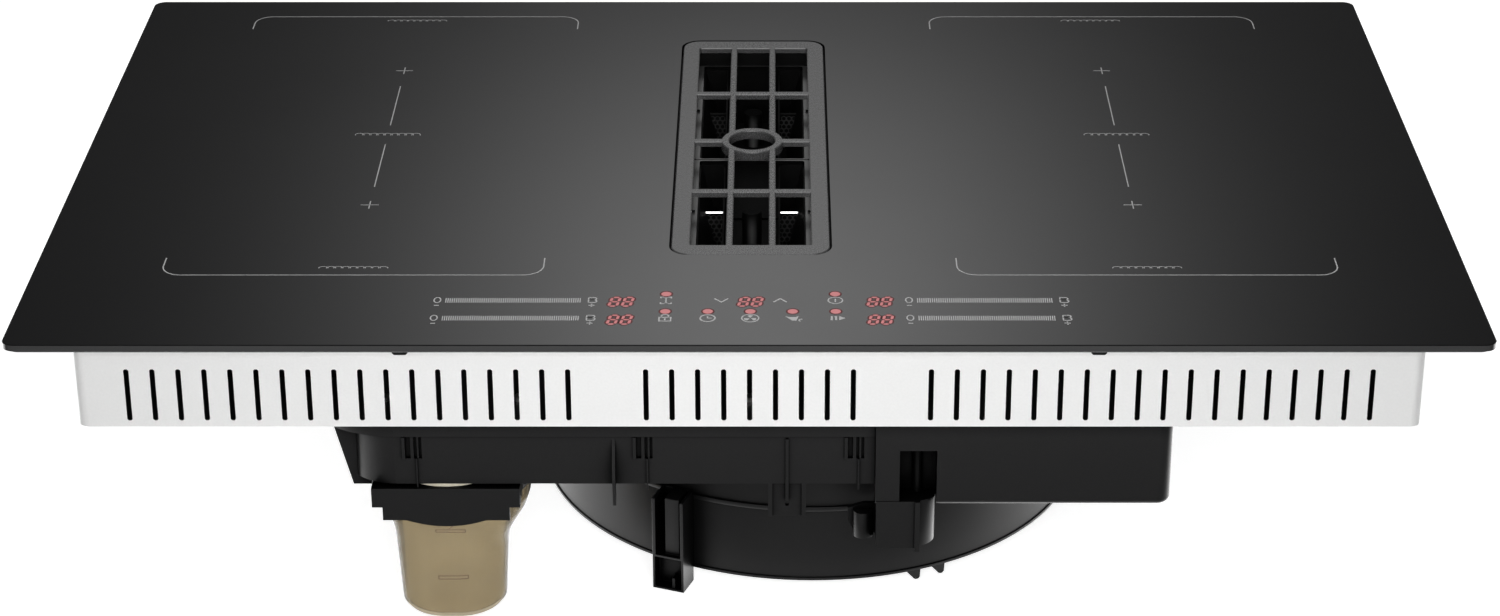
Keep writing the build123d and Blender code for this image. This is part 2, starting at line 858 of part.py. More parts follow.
with BuildPart() as grille:
    low = glass_t - grille_plate
    opening_w = grille_w - 2 * grille_side
    opening_l = grille_l - 2 * grille_end
    with BuildSketch(Plane.XY.offset(low)):
        with Locations((0, grille_y)):
            RectangleRounded(grille_w, grille_l, grille_corner)
            RectangleRounded(opening_w, opening_l, 1.5, mode=Mode.SUBTRACT)
            with GridLocations(long_bar_pitch, 0, 2, 1):
                Rectangle(bar_w, opening_l + 1)
            with GridLocations(0, cross_pitch, 1, 3):
                Rectangle(opening_w + 1, cross_bar_w)
            Circle(ring_outer)
            Circle(ring_inner, mode=Mode.SUBTRACT)
    extrude(amount=grille_plate)
    chamfer(grille.edges().group_by(Axis.Z)[-1], grille_bevel)
    # A foot under the rim stands on the well's ledge
    with BuildSketch(Plane.XY.offset(glass_t - grille_t)):
        with Locations((0, grille_y)):
            RectangleRounded(grille_w, grille_l, grille_corner)
            RectangleRounded(
                grille_w - 2 * grille_foot_w, grille_l - 2 * grille_foot_w,
                grille_corner - grille_foot_w, mode=Mode.SUBTRACT,
            )
    extrude(amount=grille_t - grille_plate)
    # The finger ring reaches deeper than the bars, with two ribs across its front and back
    with BuildSketch(Plane.XY.offset(glass_t - ring_depth)):
        with Locations((0, grille_y)):
            Circle(ring_outer)
            with GridLocations(long_bar_pitch - bar_w - 2 * ring_rib_w, 0, 2, 1):
                Rectangle(ring_rib_w, 2 * ring_outer)
            Circle(ring_inner, mode=Mode.SUBTRACT)
    extrude(amount=ring_depth - grille_plate)
finish(grille, "grille")

with BuildPart() as duct_well:
    at = (0, grille_y)
    slab(
        well_w + 2 * well_flange, well_l + 2 * well_flange, grille_corner + well_flange,
        -bond_t - 2, -bond_t, at,
    )
    slab(
        well_w + 2 * well_wall, well_l + 2 * well_wall, grille_corner + well_wall,
        ledge_z - well_wall, -bond_t, at,
    )
    slab(
        duct_w + 2 * well_wall, duct_l + 2 * well_wall, 0,
        -tray_depth - well_tail, -bond_t, at,
    )
    slab(well_w, well_l, grille_corner + well_gap, ledge_z, -bond_t, at, Mode.SUBTRACT)
    slab(
        duct_w, duct_l, 0,
        filter_foot - seat_gap, -bond_t, at, Mode.SUBTRACT,
    )
    slab(
        duct_w - 2 * filter_ledge_w, duct_l, 0,
        filter_foot - seat_gap - filter_ledge_t, -bond_t, at, Mode.SUBTRACT,
    )
    slab(
        duct_w, duct_l, 0,
        -tray_depth - well_tail, filter_foot - seat_gap - filter_ledge_t, at, Mode.SUBTRACT,
    )
finish(duct_well, "duct_well")

filter_reach = (filter_l + filter_split) / 2
for place, y in (("front", grille_y - filter_reach), ("rear", grille_y + filter_reach)):
    frame_in_w = filter_w - 2 * filter_rim_w
    frame_in_l = filter_l - 2 * filter_end_w
    with BuildPart() as filter_frame:
        slab(filter_w, filter_l, 4, filter_foot, -filter_top, (0, y))
        slab(frame_in_w, frame_in_l, 2, filter_foot, -filter_top, (0, y), Mode.SUBTRACT)
        # Lifting tabs at both sides
        with BuildSketch(Plane.XY.offset(-filter_top)):
            with Locations((0, y)):
                with GridLocations(filter_w - filter_rim_w, 0, 2, 1):
                    Rectangle(tab_w, tab_w)
        extrude(amount=tab_h)
    finish(filter_frame, f"filter_frame_{place}")

    with BuildPart() as filter_basket:
        foot = filter_foot - basket_depth
        back = y + frame_in_l / 2
        trough = Plane.XZ.offset(-back)
        inside = Plane.XZ.offset(-back + basket_wall)
        flat = frame_in_w / 2
        for side in (-1, 1):
            with BuildSketch(trough):
                with BuildLine():
                    Polyline(
                        (side * core_x, filter_foot),
                        (side * flat, filter_foot),
                        (side * basket_foot_x, foot),
                        (side * core_x, foot),
                        close=True,
                    )
                make_face()
            extrude(amount=frame_in_l)
            with BuildSketch(inside):
                with BuildLine():
                    Polyline(
                        (side * (core_x + basket_wall), filter_foot),
                        (side * (flat - basket_wall), filter_foot),
                        (side * (basket_foot_x - basket_wall), foot + basket_wall),
                        (side * (core_x + basket_wall), foot + basket_wall),
                        close=True,
                    )
                make_face()
            extrude(amount=frame_in_l - 2 * basket_wall, mode=Mode.SUBTRACT)
            # Upright mesh across the basket
            with BuildSketch(Plane.XZ.offset(-y - baffle_y)):
                with BuildLine():
                    low_x = basket_foot_x + (flat - basket_foot_x) * (1 - baffle_drop / basket_depth)
                    Polyline(
                        (side * core_x, filter_foot - baffle_drop),
                        (side * low_x, filter_foot - baffle_drop),
                        (side * basket_foot_x, foot),
                        (side * core_x, foot),
                        close=True,
                    )
                make_face()
            extrude(amount=basket_wall)
        # Floor of the core, with the post that the filter is lifted by
        block(
            -core_x - basket_wall / 2, core_x + basket_wall / 2, y - frame_in_l / 2, back,
            foot, foot + basket_wall,
        )
        disc(post_r, foot, filter_foot - post_drop, [(0, y + post_y)])
    finish(filter_basket, f"filter_basket_{place}")

# ---- Air box ----

pod_back = -box_front + pod_run
bow_start = (-box_left + bow_w, -box_front)
bow_end = (-box_left, -box_front + bow_d)
box_outline = [
    bow_start,
    (box_split, -box_front),
    (box_split, -box_front + driver_depth),
    (box_right, -box_front + driver_depth),
    (box_right, box_rear),
    (-box_waist, box_rear),
    (-box_waist, box_waist_y),
    (-box_left, pod_back),
    bow_end,
]


def bow_middle(start, width, depth):
    """Point halfway along a front corner that bends back this far over this width."""
    radius = (width**2 + depth**2) / (2 * depth)
    return (start[0] - width / 2, start[1] + radius - (radius**2 - width**2 / 4) ** 0.5)


def box_plan(level, grow):
    """Plan outline of the air box at a level, grown or shrunk all round."""
    with BuildSketch(Plane.XY.offset(level), mode=Mode.PRIVATE) as plan:
        with BuildLine():
            Polyline(*box_outline)
            ThreePointArc(bow_start, bow_middle(bow_start, bow_w, bow_d), bow_end)
        make_face()
        fillet(plan.vertices().filter_by(lambda v: v.Y > box_waist_y - 1), box_corner)
        if grow:
            offset(amount=grow)
    return plan.sketch


with BuildPart() as air_box:
    extrude(box_plan(-box_floor, 0), amount=box_floor + box_z)
    extrude(box_plan(box_z - box_band_h, box_band), amount=box_band_h)
    # The band bends round a wider corner at the left
    band_start = (bow_start[0], -box_front - box_band)
    band_end = (band_start[0] - band_bow_w, band_start[1] + band_bow_d)
    with BuildSketch(Plane.XY.offset(box_z - box_band_h)):
        with BuildLine():
            ThreePointArc(band_start, bow_middle(band_start, band_bow_w, band_bow_d), band_end)
            Polyline(band_end, (band_start[0], band_end[1]), band_start)
        make_face()
    extrude(amount=box_band_h)
    # Behind it a wedge stands out from the left wall
    with BuildSketch(Plane.XZ.offset(-band_end[1])):
        with BuildLine():
            Polyline(
                (-box_left, box_z),
                (-box_left - pod_top, box_z),
                (-box_left - pod_foot, -box_floor - pod_drop),
                (-box_left + pod_in, -box_floor - pod_drop),
                (-box_left + pod_in, -box_floor),
                (-box_left, -box_floor),
                close=True,
            )
        make_face()
    extrude(amount=-(pod_back - band_end[1]))
    with BuildSketch(Plane.XZ.offset(-band_end[1] - box_wall)):
        with BuildLine():
            Polyline(
                (-box_left - box_wall, box_z),
                (-box_left - pod_top + box_wall, box_z),
                (-box_left - box_wall, -box_floor + box_wall),
                close=True,
            )
        make_face()
    extrude(amount=-(pod_back - band_end[1] - 2 * box_wall), mode=Mode.SUBTRACT)
    # The band stops where the driver box stands beside it
    block(
        box_split, driver_right, -box_front - 2 * box_band, -box_front + driver_depth,
        box_z - box_band_h, box_z, Mode.SUBTRACT,
    )
    extrude(
        box_plan(-box_floor + box_wall, -box_wall),
        amount=box_floor + box_z - box_wall, mode=Mode.SUBTRACT,
    )
    # Posts for the screws from the tray
    prism(6, box_boss_r, -box_floor + box_wall / 2, box_z, box_screws)
    prism(6, screw_r + screw_clear, box_z - screw_l, box_z, box_screws, Mode.SUBTRACT)
    # Ways out: down to the fan, and down to the overflow cup
    disc(inlet_r, -box_floor, -box_floor + box_wall, [(drum_x, drum_y)], Mode.SUBTRACT)
    disc(
        drain_inner - 3, -box_floor, -box_floor + box_wall, [(cup_x, drain_y)], Mode.SUBTRACT,
    )
    # Clip pockets on the front, each with two ribs inside, a raised edge and a thin line below
    face_plane = Plane.XZ.offset(box_front)
    with BuildSketch(face_plane):
        with Locations(*[(x, -clip_top - clip_h / 2) for x in clip_x]):
            Rectangle(clip_w, clip_h)
        for rib_x, rib_w in clip_ribs:
            with Locations(*[(x + rib_x, -clip_top - clip_h / 2) for x in clip_x]):
                Rectangle(rib_w, clip_h, mode=Mode.SUBTRACT)
    extrude(amount=-clip_depth, mode=Mode.SUBTRACT)
    with BuildSketch(face_plane):
        with Locations(*[(x - (clip_w + clip_edge_w) / 2, -clip_top - clip_h / 2) for x in clip_x]):
            Rectangle(clip_edge_w, clip_h)
        line_l = box_floor - clip_top - clip_h + clip_line_drop
        with Locations(*[(x + clip_ribs[0][0] + clip_w / 4, -clip_top - clip_h) for x in clip_x]):
            Rectangle(clip_line, line_l, align=(Align.CENTER, Align.MAX))
    extrude(amount=clip_line)
    # Tapered fin
    with BuildSketch(Plane.YZ.offset(fin_x - clip_line)):
        with BuildLine():
            Polyline(
                (-box_front + box_wall, -fin_top),
                (-box_front, -fin_top),
                (-box_front - fin_reach, -box_floor + 6),
                (-box_front - 1, -box_floor - fin_drop),
                (-box_front + box_wall, -box_floor - fin_drop + 4),
                close=True,
            )
        make_face()
    extrude(amount=2 * clip_line)
    # Fixing tab under the front, with a rib up the face
    tab_left = tab_x - tab_plate_w / 2
    tab_right = tab_x + tab_plate_w / 2
    block(
        tab_left, tab_right, -box_front + tab_inset, -box_front + tab_inset + box_wall,
        -box_floor - tab_drop, -box_floor,
    )
    for x in (tab_left, tab_right - tab_wing_w):
        block(
            x, x + tab_wing_w, -box_front, -box_front + tab_wing_d,
            -box_floor - tab_drop, -box_floor,
        )
    block(
        tab_x - clip_line, tab_x + clip_line, -box_front - clip_line, -box_front + tab_inset,
        -box_floor - tab_drop / 2, -fin_top,
    )
    with BuildSketch(face_plane):
        with Locations((tab_x, -box_floor - tab_drop * 0.65)):
            RegularPolygon(tab_hole_r, 8)
    extrude(amount=-2 * box_wall, mode=Mode.SUBTRACT)
finish(air_box, "air_box")

with BuildPart() as box_seal:
    extrude(box_plan(box_z, 0), amount=box_seal_t)
    extrude(box_plan(box_z, -box_wall), amount=box_seal_t, mode=Mode.SUBTRACT)
finish(box_seal, "box_seal")

# ---- Driver box ----

driver_left = box_split + driver_gap
driver_front = -box_front - driver_step
driver_rear = -box_front + driver_depth - driver_gap - box_wall
driver_cx = (driver_left + driver_right) / 2
driver_cy = (driver_front + driver_rear) / 2
driver_w = driver_right - driver_left
driver_d = driver_rear - driver_front
pocket_left = pocket_x - pocket_w / 2
pocket_right = pocket_x + pocket_w / 2

with BuildPart() as driver_box:
    block(driver_left, driver_right, driver_front, driver_rear, -driver_floor, -tray_depth)
    fillet(driver_box.edges().filter_by(Axis.Z).group_by(Axis.X)[-1], driver_corner)
    under = driver_box.edges().group_by(Axis.Z)[0]
    fillet(under.filter_by(lambda e: e.center().X > driver_left + 1), driver_edge)
    slab(
        driver_w - 2 * box_wall, driver_d - 2 * box_wall, driver_corner - box_wall,
        -driver_floor + box_wall, -tray_depth, (driver_cx, driver_cy), Mode.SUBTRACT,
    )
    # Walls of the clip pocket, then the pocket with its round ridge
    block(
        pocket_left - box_wall, pocket_right + box_wall,
        driver_front + box_wall, driver_front + pocket_depth + box_wall,
        -driver_floor, -driver_floor + pocket_h + box_wall,
    )
    block(
        pocket_left, pocket_right, driver_front, driver_front + pocket_depth,
        -driver_floor, -driver_floor + pocket_h, Mode.SUBTRACT,
    )
    disc(
        pocket_ridge_r, -driver_floor, -driver_floor + pocket_h,
        [(pocket_x, driver_front + pocket_depth - 1)],
    )
    # Foot below the left end: a box with a round corner, a rib and a screw boss
    foot_low = -driver_floor - foot_h
    foot_left = driver_left + 0.6
    foot_right = foot_left + foot_w
    foot_back = driver_front + foot_depth
    foot_top = -driver_floor + box_wall
    block(foot_left, foot_right, driver_front, foot_back, foot_low, foot_top)
    with BuildSketch(Plane.XY.offset(foot_low + 1)):
        with Locations((foot_right, driver_front + foot_round + 1)):
            Circle(foot_round)
        with Locations((foot_right + foot_round / 2, driver_front + foot_depth / 2 + foot_round / 2)):
            Rectangle(foot_round, foot_depth - foot_round)
        with Locations((foot_right - foot_w, driver_front + foot_depth / 2)):
            Rectangle(foot_w, foot_depth, align=(Align.MIN, Align.CENTER), mode=Mode.SUBTRACT)
    extrude(amount=foot_h - 1 + box_wall)
    block(
        foot_right, foot_right + foot_rib, driver_front - 1, driver_front + foot_round,
        foot_low - 2, foot_top,
    )
    boss_x = foot_left - foot_boss_r - 1
    boss_y = driver_front + foot_boss_r + foot_boss_back
    boss_low = foot_low + foot_boss_lift
    disc(foot_boss_r, boss_low, boss_low + foot_boss_h, [(boss_x, boss_y)])
    # An arm and a cornered gusset carry the boss
    with BuildSketch(Plane.XZ.offset(-boss_y - foot_arm / 2)):
        with BuildLine():
            Polyline(
                (foot_left + 1, boss_low + foot_boss_h + foot_arm),
                (boss_x, boss_low + foot_boss_h + foot_arm),
                (boss_x - foot_gusset, boss_low + foot_boss_h),
                (boss_x - foot_gusset, boss_low + foot_boss_h / 2),
                (boss_x - foot_gusset / 2, boss_low),
                (foot_left + 1, boss_low),
                close=True,
            )
        make_face()
    extrude(amount=-foot_arm)
    prism(6, screw_r, boss_low, boss_low + foot_screw_l, [(boss_x, boss_y)], Mode.SUBTRACT)
finish(driver_box, "driver_box")

with BuildPart() as driver_board:
    board_low = -driver_floor + box_wall + driver_board_lift
    at = (driver_cx + driver_board_in, driver_cy + driver_board_back)
    slab(driver_board_w, driver_board_d, 0, board_low, board_low + board_t, at)
    with BuildSketch(Plane.XY.offset(-driver_floor + box_wall)):
        with Locations(at):
            with GridLocations(driver_board_w - 10, driver_board_d - 10, 2, 2):
                Rectangle(standoff_w, standoff_w)
    extrude(amount=driver_board_lift)
    prism(
        10, capacitor_r, board_low + board_t, board_low + board_t + driver_part_h,
        [(at[0] + driver_part_x, at[1])],
    )
finish(driver_board, "driver_board")

# ---- Fan casing, wheel and motor ----


def casing_plan(level, radius, half_width):
    """Plan of the fan casing at a level: a drum with a straight spout at the back."""
    with BuildSketch(Plane.XY.offset(level), mode=Mode.PRIVATE) as plan:
        with Locations((drum_x, drum_y)):
            Circle(radius)
            Rectangle(2 * half_width, spout_end - drum_y, align=(Align.CENTER, Align.MIN))
    return plan.sketch


ear_reach = drum_r + ear_out
ear_spout_angle = degrees(acos((duct_out_w / 2 + ear_spout_gap) / ear_reach))
ear_angles = (
    ear_side_angle, ear_spout_angle, 180 - ear_spout_angle, 180 - ear_side_angle,
)
ears = [
    (
        drum_x + ear_reach * cos(radians(a)),
        drum_y + ear_reach * sin(radians(a)),
    )
    for a in ear_angles
]
spout_half = duct_out_w / 2
upper_r = drum_r - drum_upper_step
spout_bore = spout_half - drum_wall

with BuildPart() as casing_upper:
    extrude(casing_plan(-drum_joint, upper_r, spout_half), amount=drum_joint - drum_top)
    disc(drum_r + drum_flange, -drum_joint, -drum_joint + drum_flange_h, [(drum_x, drum_y)])
    disc(ear_r, -drum_joint, -drum_joint + 2 * drum_flange_h, ears)
    extrude(
        casing_plan(-drum_joint, upper_r - drum_wall, spout_bore),
        amount=drum_joint - drum_top - drum_wall, mode=Mode.SUBTRACT,
    )
    # Bell mouth that meets the floor of the air box
    disc(inlet_r + 6, -drum_top, -box_floor, [(drum_x, drum_y)])
    chamfer(
        casing_upper.edges().filter_by(GeomType.CIRCLE).group_by(Axis.Z)[-1], 2,
    )
    disc(inlet_r, -drum_top - drum_wall, -box_floor, [(drum_x, drum_y)], Mode.SUBTRACT)
    prism(6, screw_r + tap_gap, -drum_joint, -drum_joint + 2 * drum_flange_h, ears, Mode.SUBTRACT)
finish(casing_upper, "casing_upper")

with BuildPart() as casing_lower:
    extrude(casing_plan(-drum_floor, drum_r, spout_half), amount=drum_floor - drum_joint)
    disc(drum_r + foot_rim, -drum_floor, -drum_floor + foot_rim_h, [(drum_x, drum_y)])
    disc(ear_r, -drum_joint - 2 * drum_flange_h, -drum_joint, ears)
    extrude(
        casing_plan(-drum_floor + drum_wall, drum_inner, spout_bore),
        amount=drum_floor - drum_joint - drum_wall, mode=Mode.SUBTRACT,
    )
    prism(6, screw_r + tap_gap, -drum_joint - 2 * drum_flange_h, -drum_joint, ears, Mode.SUBTRACT)
    # Ribs under the floor, between the motor and the rim
    with BuildSketch(Plane.XY.offset(-drum_floor - floor_rib_h)):
        with Locations((drum_x, drum_y)):
            with PolarLocations((motor_flange_r + drum_r) / 2, floor_rib_count, 15):
                Rectangle(drum_r - motor_flange_r - 20, floor_rib_t)
            Circle(motor_flange_r + 6)
            Circle(motor_flange_r + 4, mode=Mode.SUBTRACT)
    extrude(amount=floor_rib_h)
    # Two tapered lugs below the front of the rim
    for angle in lug_angles:
        lug = Plane(
            origin=(
                drum_x + (drum_r - lug_t) * cos(radians(angle)),
                drum_y + (drum_r - lug_t) * sin(radians(angle)),
                -drum_floor,
            ),
            x_dir=(-sin(radians(angle)), cos(radians(angle)), 0),
            z_dir=(cos(radians(angle)), sin(radians(angle)), 0),
        )
        with BuildSketch(lug):
            with BuildLine():
                Polyline(
                    (-5.5, 0), (0, -lug_drop + 0.5), (1, -lug_drop), (2.8, -lug_drop),
                    (3.8, -lug_drop + 1), (4.2, 0),
                    close=True,
                )
            make_face()
        extrude(amount=lug_t)
    # Screw holes for the motor
    with BuildSketch(Plane.XY.offset(-drum_floor)):
        with Locations((drum_x, drum_y)):
            with PolarLocations(motor_hole_r, 3):
                RegularPolygon(screw_r + tap_gap, 6)
    extrude(amount=drum_wall, mode=Mode.SUBTRACT)
finish(casing_lower, "casing_lower")

with BuildPart() as casing_screws:
    ear_top = -drum_joint + 2 * drum_flange_h
    prism(6, screw_head_r, ear_top, ear_top + screw_head_h, ears)
    prism(6, screw_r, ear_top - 4 * drum_flange_h + 1, ear_top, ears)
finish(casing_screws, "casing_screws")

with BuildPart() as motor:
    seat = -drum_floor + drum_wall
    at = [(drum_x, drum_y)]
    disc(motor_flange_r, seat, seat + motor_flange_t, at)
    disc(motor_r, seat + motor_flange_t, seat + motor_flange_t + motor_h, at)
    chamfer(motor.edges().group_by(Axis.Z)[-1], motor_flange_t)
    with BuildSketch(Plane.XY.offset(seat)):
        with Locations(*at):
            with PolarLocations(motor_hole_r, 3):
                RegularPolygon(screw_r + tap_gap, 6)
    extrude(amount=motor_flange_t, mode=Mode.SUBTRACT)
    disc(
        shaft_r + shaft_gap, seat + motor_flange_t, seat + motor_flange_t + motor_h,
        at, Mode.SUBTRACT,
    )
finish(motor, "motor")

with BuildPart() as motor_screws:
    head_low = -drum_floor - screw_head_h
    with BuildSketch(Plane.XY.offset(head_low)):
        with Locations((drum_x, drum_y)):
            with PolarLocations(motor_hole_r, 3):
                RegularPolygon(screw_head_r, 6)
    extrude(amount=screw_head_h)
    with BuildSketch(Plane.XY.offset(-drum_floor)):
        with Locations((drum_x, drum_y)):
            with PolarLocations(motor_hole_r, 3):
                RegularPolygon(screw_r, 6)
    extrude(amount=drum_wall + motor_flange_t)
finish(motor_screws, "motor_screws")

hub_top = -drum_floor + drum_wall + motor_flange_t + motor_h + running_gap

with BuildPart() as fan_wheel:
    foot = -wheel_foot
    at = [(drum_x, drum_y)]
    disc(wheel_r, foot, foot + wheel_plate, at)
    disc(hub_r, foot, hub_top + hub_wall, at)
    chamfer(fan_wheel.edges().group_by(Axis.Z)[-1], 2 * hub_wall)
    disc(hub_r - hub_wall, foot, hub_top, at, Mode.SUBTRACT)
    # Forward-curved vanes between the plate and the ring
    with BuildSketch(mode=Mode.PRIVATE) as vane:
        with BuildLine() as camber:
            Polyline(
                (wheel_eye_r + vane_t, 0),
                Vector((wheel_eye_r + wheel_r) / 2, 0).rotate(Axis.Z, vane_sweep / 3),
                Vector(wheel_r - vane_t, 0).rotate(Axis.Z, vane_sweep),
            )
        trace(camber.line, vane_t)
    with BuildSketch(Plane.XY.offset(foot)):
        with Locations((drum_x, drum_y)):
            with PolarLocations(0, vane_count):
                add(vane.sketch)
    extrude(amount=wheel_h - wheel_ring)
    with BuildSketch(Plane.XY.offset(wheel_top - wheel_ring)):
        with Locations((drum_x, drum_y)):
            Circle(wheel_r)
            Circle(wheel_eye_r, mode=Mode.SUBTRACT)
    extrude(amount=wheel_ring)
finish(fan_wheel, "fan_wheel")

with BuildPart() as fan_shaft:
    disc(shaft_r, -drum_floor + drum_wall + motor_flange_t + 1, hub_top, [(drum_x, drum_y)])
finish(fan_shaft, "fan_shaft")

# Flat duct collar on the spout
collar_z = -(drum_top + drum_floor) / 2
with BuildPart() as exhaust_collar:
    with BuildSketch(Plane.XZ.offset(-spout_end - collar_flange_t)):
        with Locations((drum_x, collar_z)):
            RectangleRounded(duct_out_w + 2 * collar_flange, duct_out_h + 2, 4)
    extrude(amount=collar_flange_t)
    with BuildSketch(Plane.XZ.offset(-spout_end - collar_l)):
        with Locations((drum_x, collar_z)):
            RectangleRounded(duct_out_w, duct_out_h, 4)
    extrude(amount=collar_l - collar_flange_t)
    with BuildSketch(Plane.XZ.offset(-spout_end - collar_l)):
        with Locations((drum_x, collar_z)):
            Rectangle(duct_out_w - 2 * drum_wall, drum_floor - drum_top - 2 * drum_wall)
    extrude(amount=collar_l, mode=Mode.SUBTRACT)
finish(exhaust_collar, "exhaust_collar")

# ---- Overflow cup ----

with BuildPart() as drain_ring:
    disc(drain_outer, -box_floor - drain_l, -box_floor, [(cup_x, drain_y)])
    disc(drain_inner, -box_floor - drain_l, -box_floor, [(cup_x, drain_y)], Mode.SUBTRACT)
finish(drain_ring, "drain_ring")

holder_low = -holder_top - holder_t
holder_left = cup_x - holder_w / 2
holder_right = cup_x + holder_w / 2
with BuildPart() as cup_holder:
    block(holder_left, holder_right, -holder_front, drain_y, holder_low, -holder_top)
    slab(
        cup_mouth_w + 4, cup_mouth_d, cup_mouth_r, holder_low, -holder_top,
        (cup_mouth_x, cup_mouth_y + 3),
    )
    disc(
        drain_outer + cup_gap, holder_low, -holder_top, [(cup_x, drain_y)], Mode.SUBTRACT,
    )
    # Apron in front of the cup's mouth, with a lobe in the middle
    with BuildSketch(Plane.XZ.offset(holder_front)) as apron:
        with Locations((cup_x, holder_low - holder_apron / 2)):
            Rectangle(holder_w - 2 * apron_inset, holder_apron)
        with BuildLine():
            ThreePointArc(
                (cup_x - apron_lobe_w / 2, holder_low - holder_apron),
                (cup_x, holder_low - holder_apron - apron_lobe),
                (cup_x + apron_lobe_w / 2, holder_low - holder_apron),
            )
            Line(
                (cup_x + apron_lobe_w / 2, holder_low - holder_apron),
                (cup_x - apron_lobe_w / 2, holder_low - holder_apron),
            )
        make_face()
    extrude(amount=-apron_t)
    # Short bosses that carry the holder on the air box
    bosses = [
        (holder_left + holder_boss_in, drain_y), (holder_right - holder_boss_in, drain_y),
        (cup_x - 22, cup_mouth_y + 35), (cup_x + 22, cup_mouth_y + 35),
    ]
    disc(holder_boss_r, -holder_top, -box_floor, bosses)
finish(cup_holder, "cup_holder")

with BuildPart() as cup_seal:
    slab(
        cup_mouth_w, cup_mouth_d, cup_mouth_r,
        holder_low - cup_seal_t, holder_low, (cup_mouth_x, cup_mouth_y),
    )
    slab(
        cup_mouth_w - 8, cup_mouth_d - 8, cup_mouth_r - 4,
        holder_low - cup_seal_t, holder_low, (cup_mouth_x, cup_mouth_y), Mode.SUBTRACT,
    )
finish(cup_seal, "cup_seal")

# The cup narrows from its mouth to its waist, then tapers gently to its foot
cup_mouth = (cup_mouth_w, cup_mouth_d, cup_mouth_x, cup_mouth_y, cup_mouth_r)
cup_waist = (67, 71, cup_x - 0.8, drain_y + 6, 30)
cup_foot = (62, 55, cup_x - 0.8, drain_y + 1, 27)
cup_levels = (0, 6, 14, 22, 30, 38, cup_depth - 3, cup_depth)


def cup_section(drop):
    """Width, depth, centre and corner of the cup this far below its mouth."""
    if drop <= cup_waist_drop:
        share = max(0, (drop - cup_rim_h) / (cup_waist_drop - cup_rim_h))
        share = share * share * (3 - 2 * share)
        return [a + (b - a) * share for a, b in zip(cup_mouth, cup_waist)]
    share = (drop - cup_waist_drop) / (cup_depth - cup_waist_drop)
    return [a + (b - a) * share for a, b in zip(cup_waist, cup_foot)]


def cup_skin(inset):
    """Body of the cup, drawn in by the inset."""
    with BuildPart(mode=Mode.PRIVATE) as body:
        for drop in cup_levels:
            width, depth, x, y, corner = cup_section(drop)
            ease = inset + (2 if drop == cup_depth else 0)
            with BuildSketch(Plane.XY.offset(cup_top - min(drop, cup_depth - inset))):
                with Locations((x, y)):
                    RectangleRounded(width - 2 * ease, depth - 2 * ease, corner - ease)
        loft(ruled=True)
    return body.part


with BuildPart() as overflow_cup:
    add(cup_skin(0))
    add(cup_skin(cup_wall), mode=Mode.SUBTRACT)
finish(overflow_cup, "overflow_cup")

# ---- Support leg ----

leg_plane = Plane(
    origin=(leg_x, leg_y, -leg_foot),
    x_dir=(cos(radians(leg_turn)), sin(radians(leg_turn)), 0),
    z_dir=(0, 0, 1),
)
with BuildPart() as support_leg:
    with BuildSketch(leg_plane):
        Rectangle(leg_w, leg_d, align=(Align.CENTER, Align.MIN))
    extrude(amount=leg_foot - leg_top)
    # Open front above a solid foot
    with BuildSketch(leg_plane.offset(leg_block)):
        with Locations((0, -1)):
            Rectangle(leg_w - 2 * leg_wall, leg_d - 8, align=(Align.CENTER, Align.MIN))
    extrude(amount=leg_foot - leg_top - leg_block, mode=Mode.SUBTRACT)
    with BuildSketch(leg_plane.offset(leg_block)):
        with Locations((leg_panel_x, leg_panel_in)):
            Rectangle(leg_panel_w, leg_d - 10, align=(Align.CENTER, Align.MIN))
    extrude(amount=leg_foot - leg_top - leg_block)
    # Pocket in the foot, with a short rib
    with BuildSketch(leg_plane.offset(leg_skin)):
        with Locations((0, -1)):
            Rectangle(leg_w - 2 * leg_skin, leg_d / 3, align=(Align.CENTER, Align.MIN))
    extrude(amount=leg_block - 2 * leg_skin, mode=Mode.SUBTRACT)
    with BuildSketch(leg_plane.offset(leg_skin)):
        with Locations((leg_rib_x, leg_skin)):
            Rectangle(leg_wall, leg_d / 3, align=(Align.CENTER, Align.MIN))
    extrude(amount=leg_rib_h)
    disc(
        drum_r + drum_flange + leg_seat, -leg_foot, -leg_top,
        [(drum_x, drum_y)], Mode.SUBTRACT,
    )
    disc(
        drum_r + foot_rim + leg_seat, -leg_foot, -drum_floor + foot_rim_h + leg_seat,
        [(drum_x, drum_y)], Mode.SUBTRACT,
    )
finish(support_leg, "support_leg")
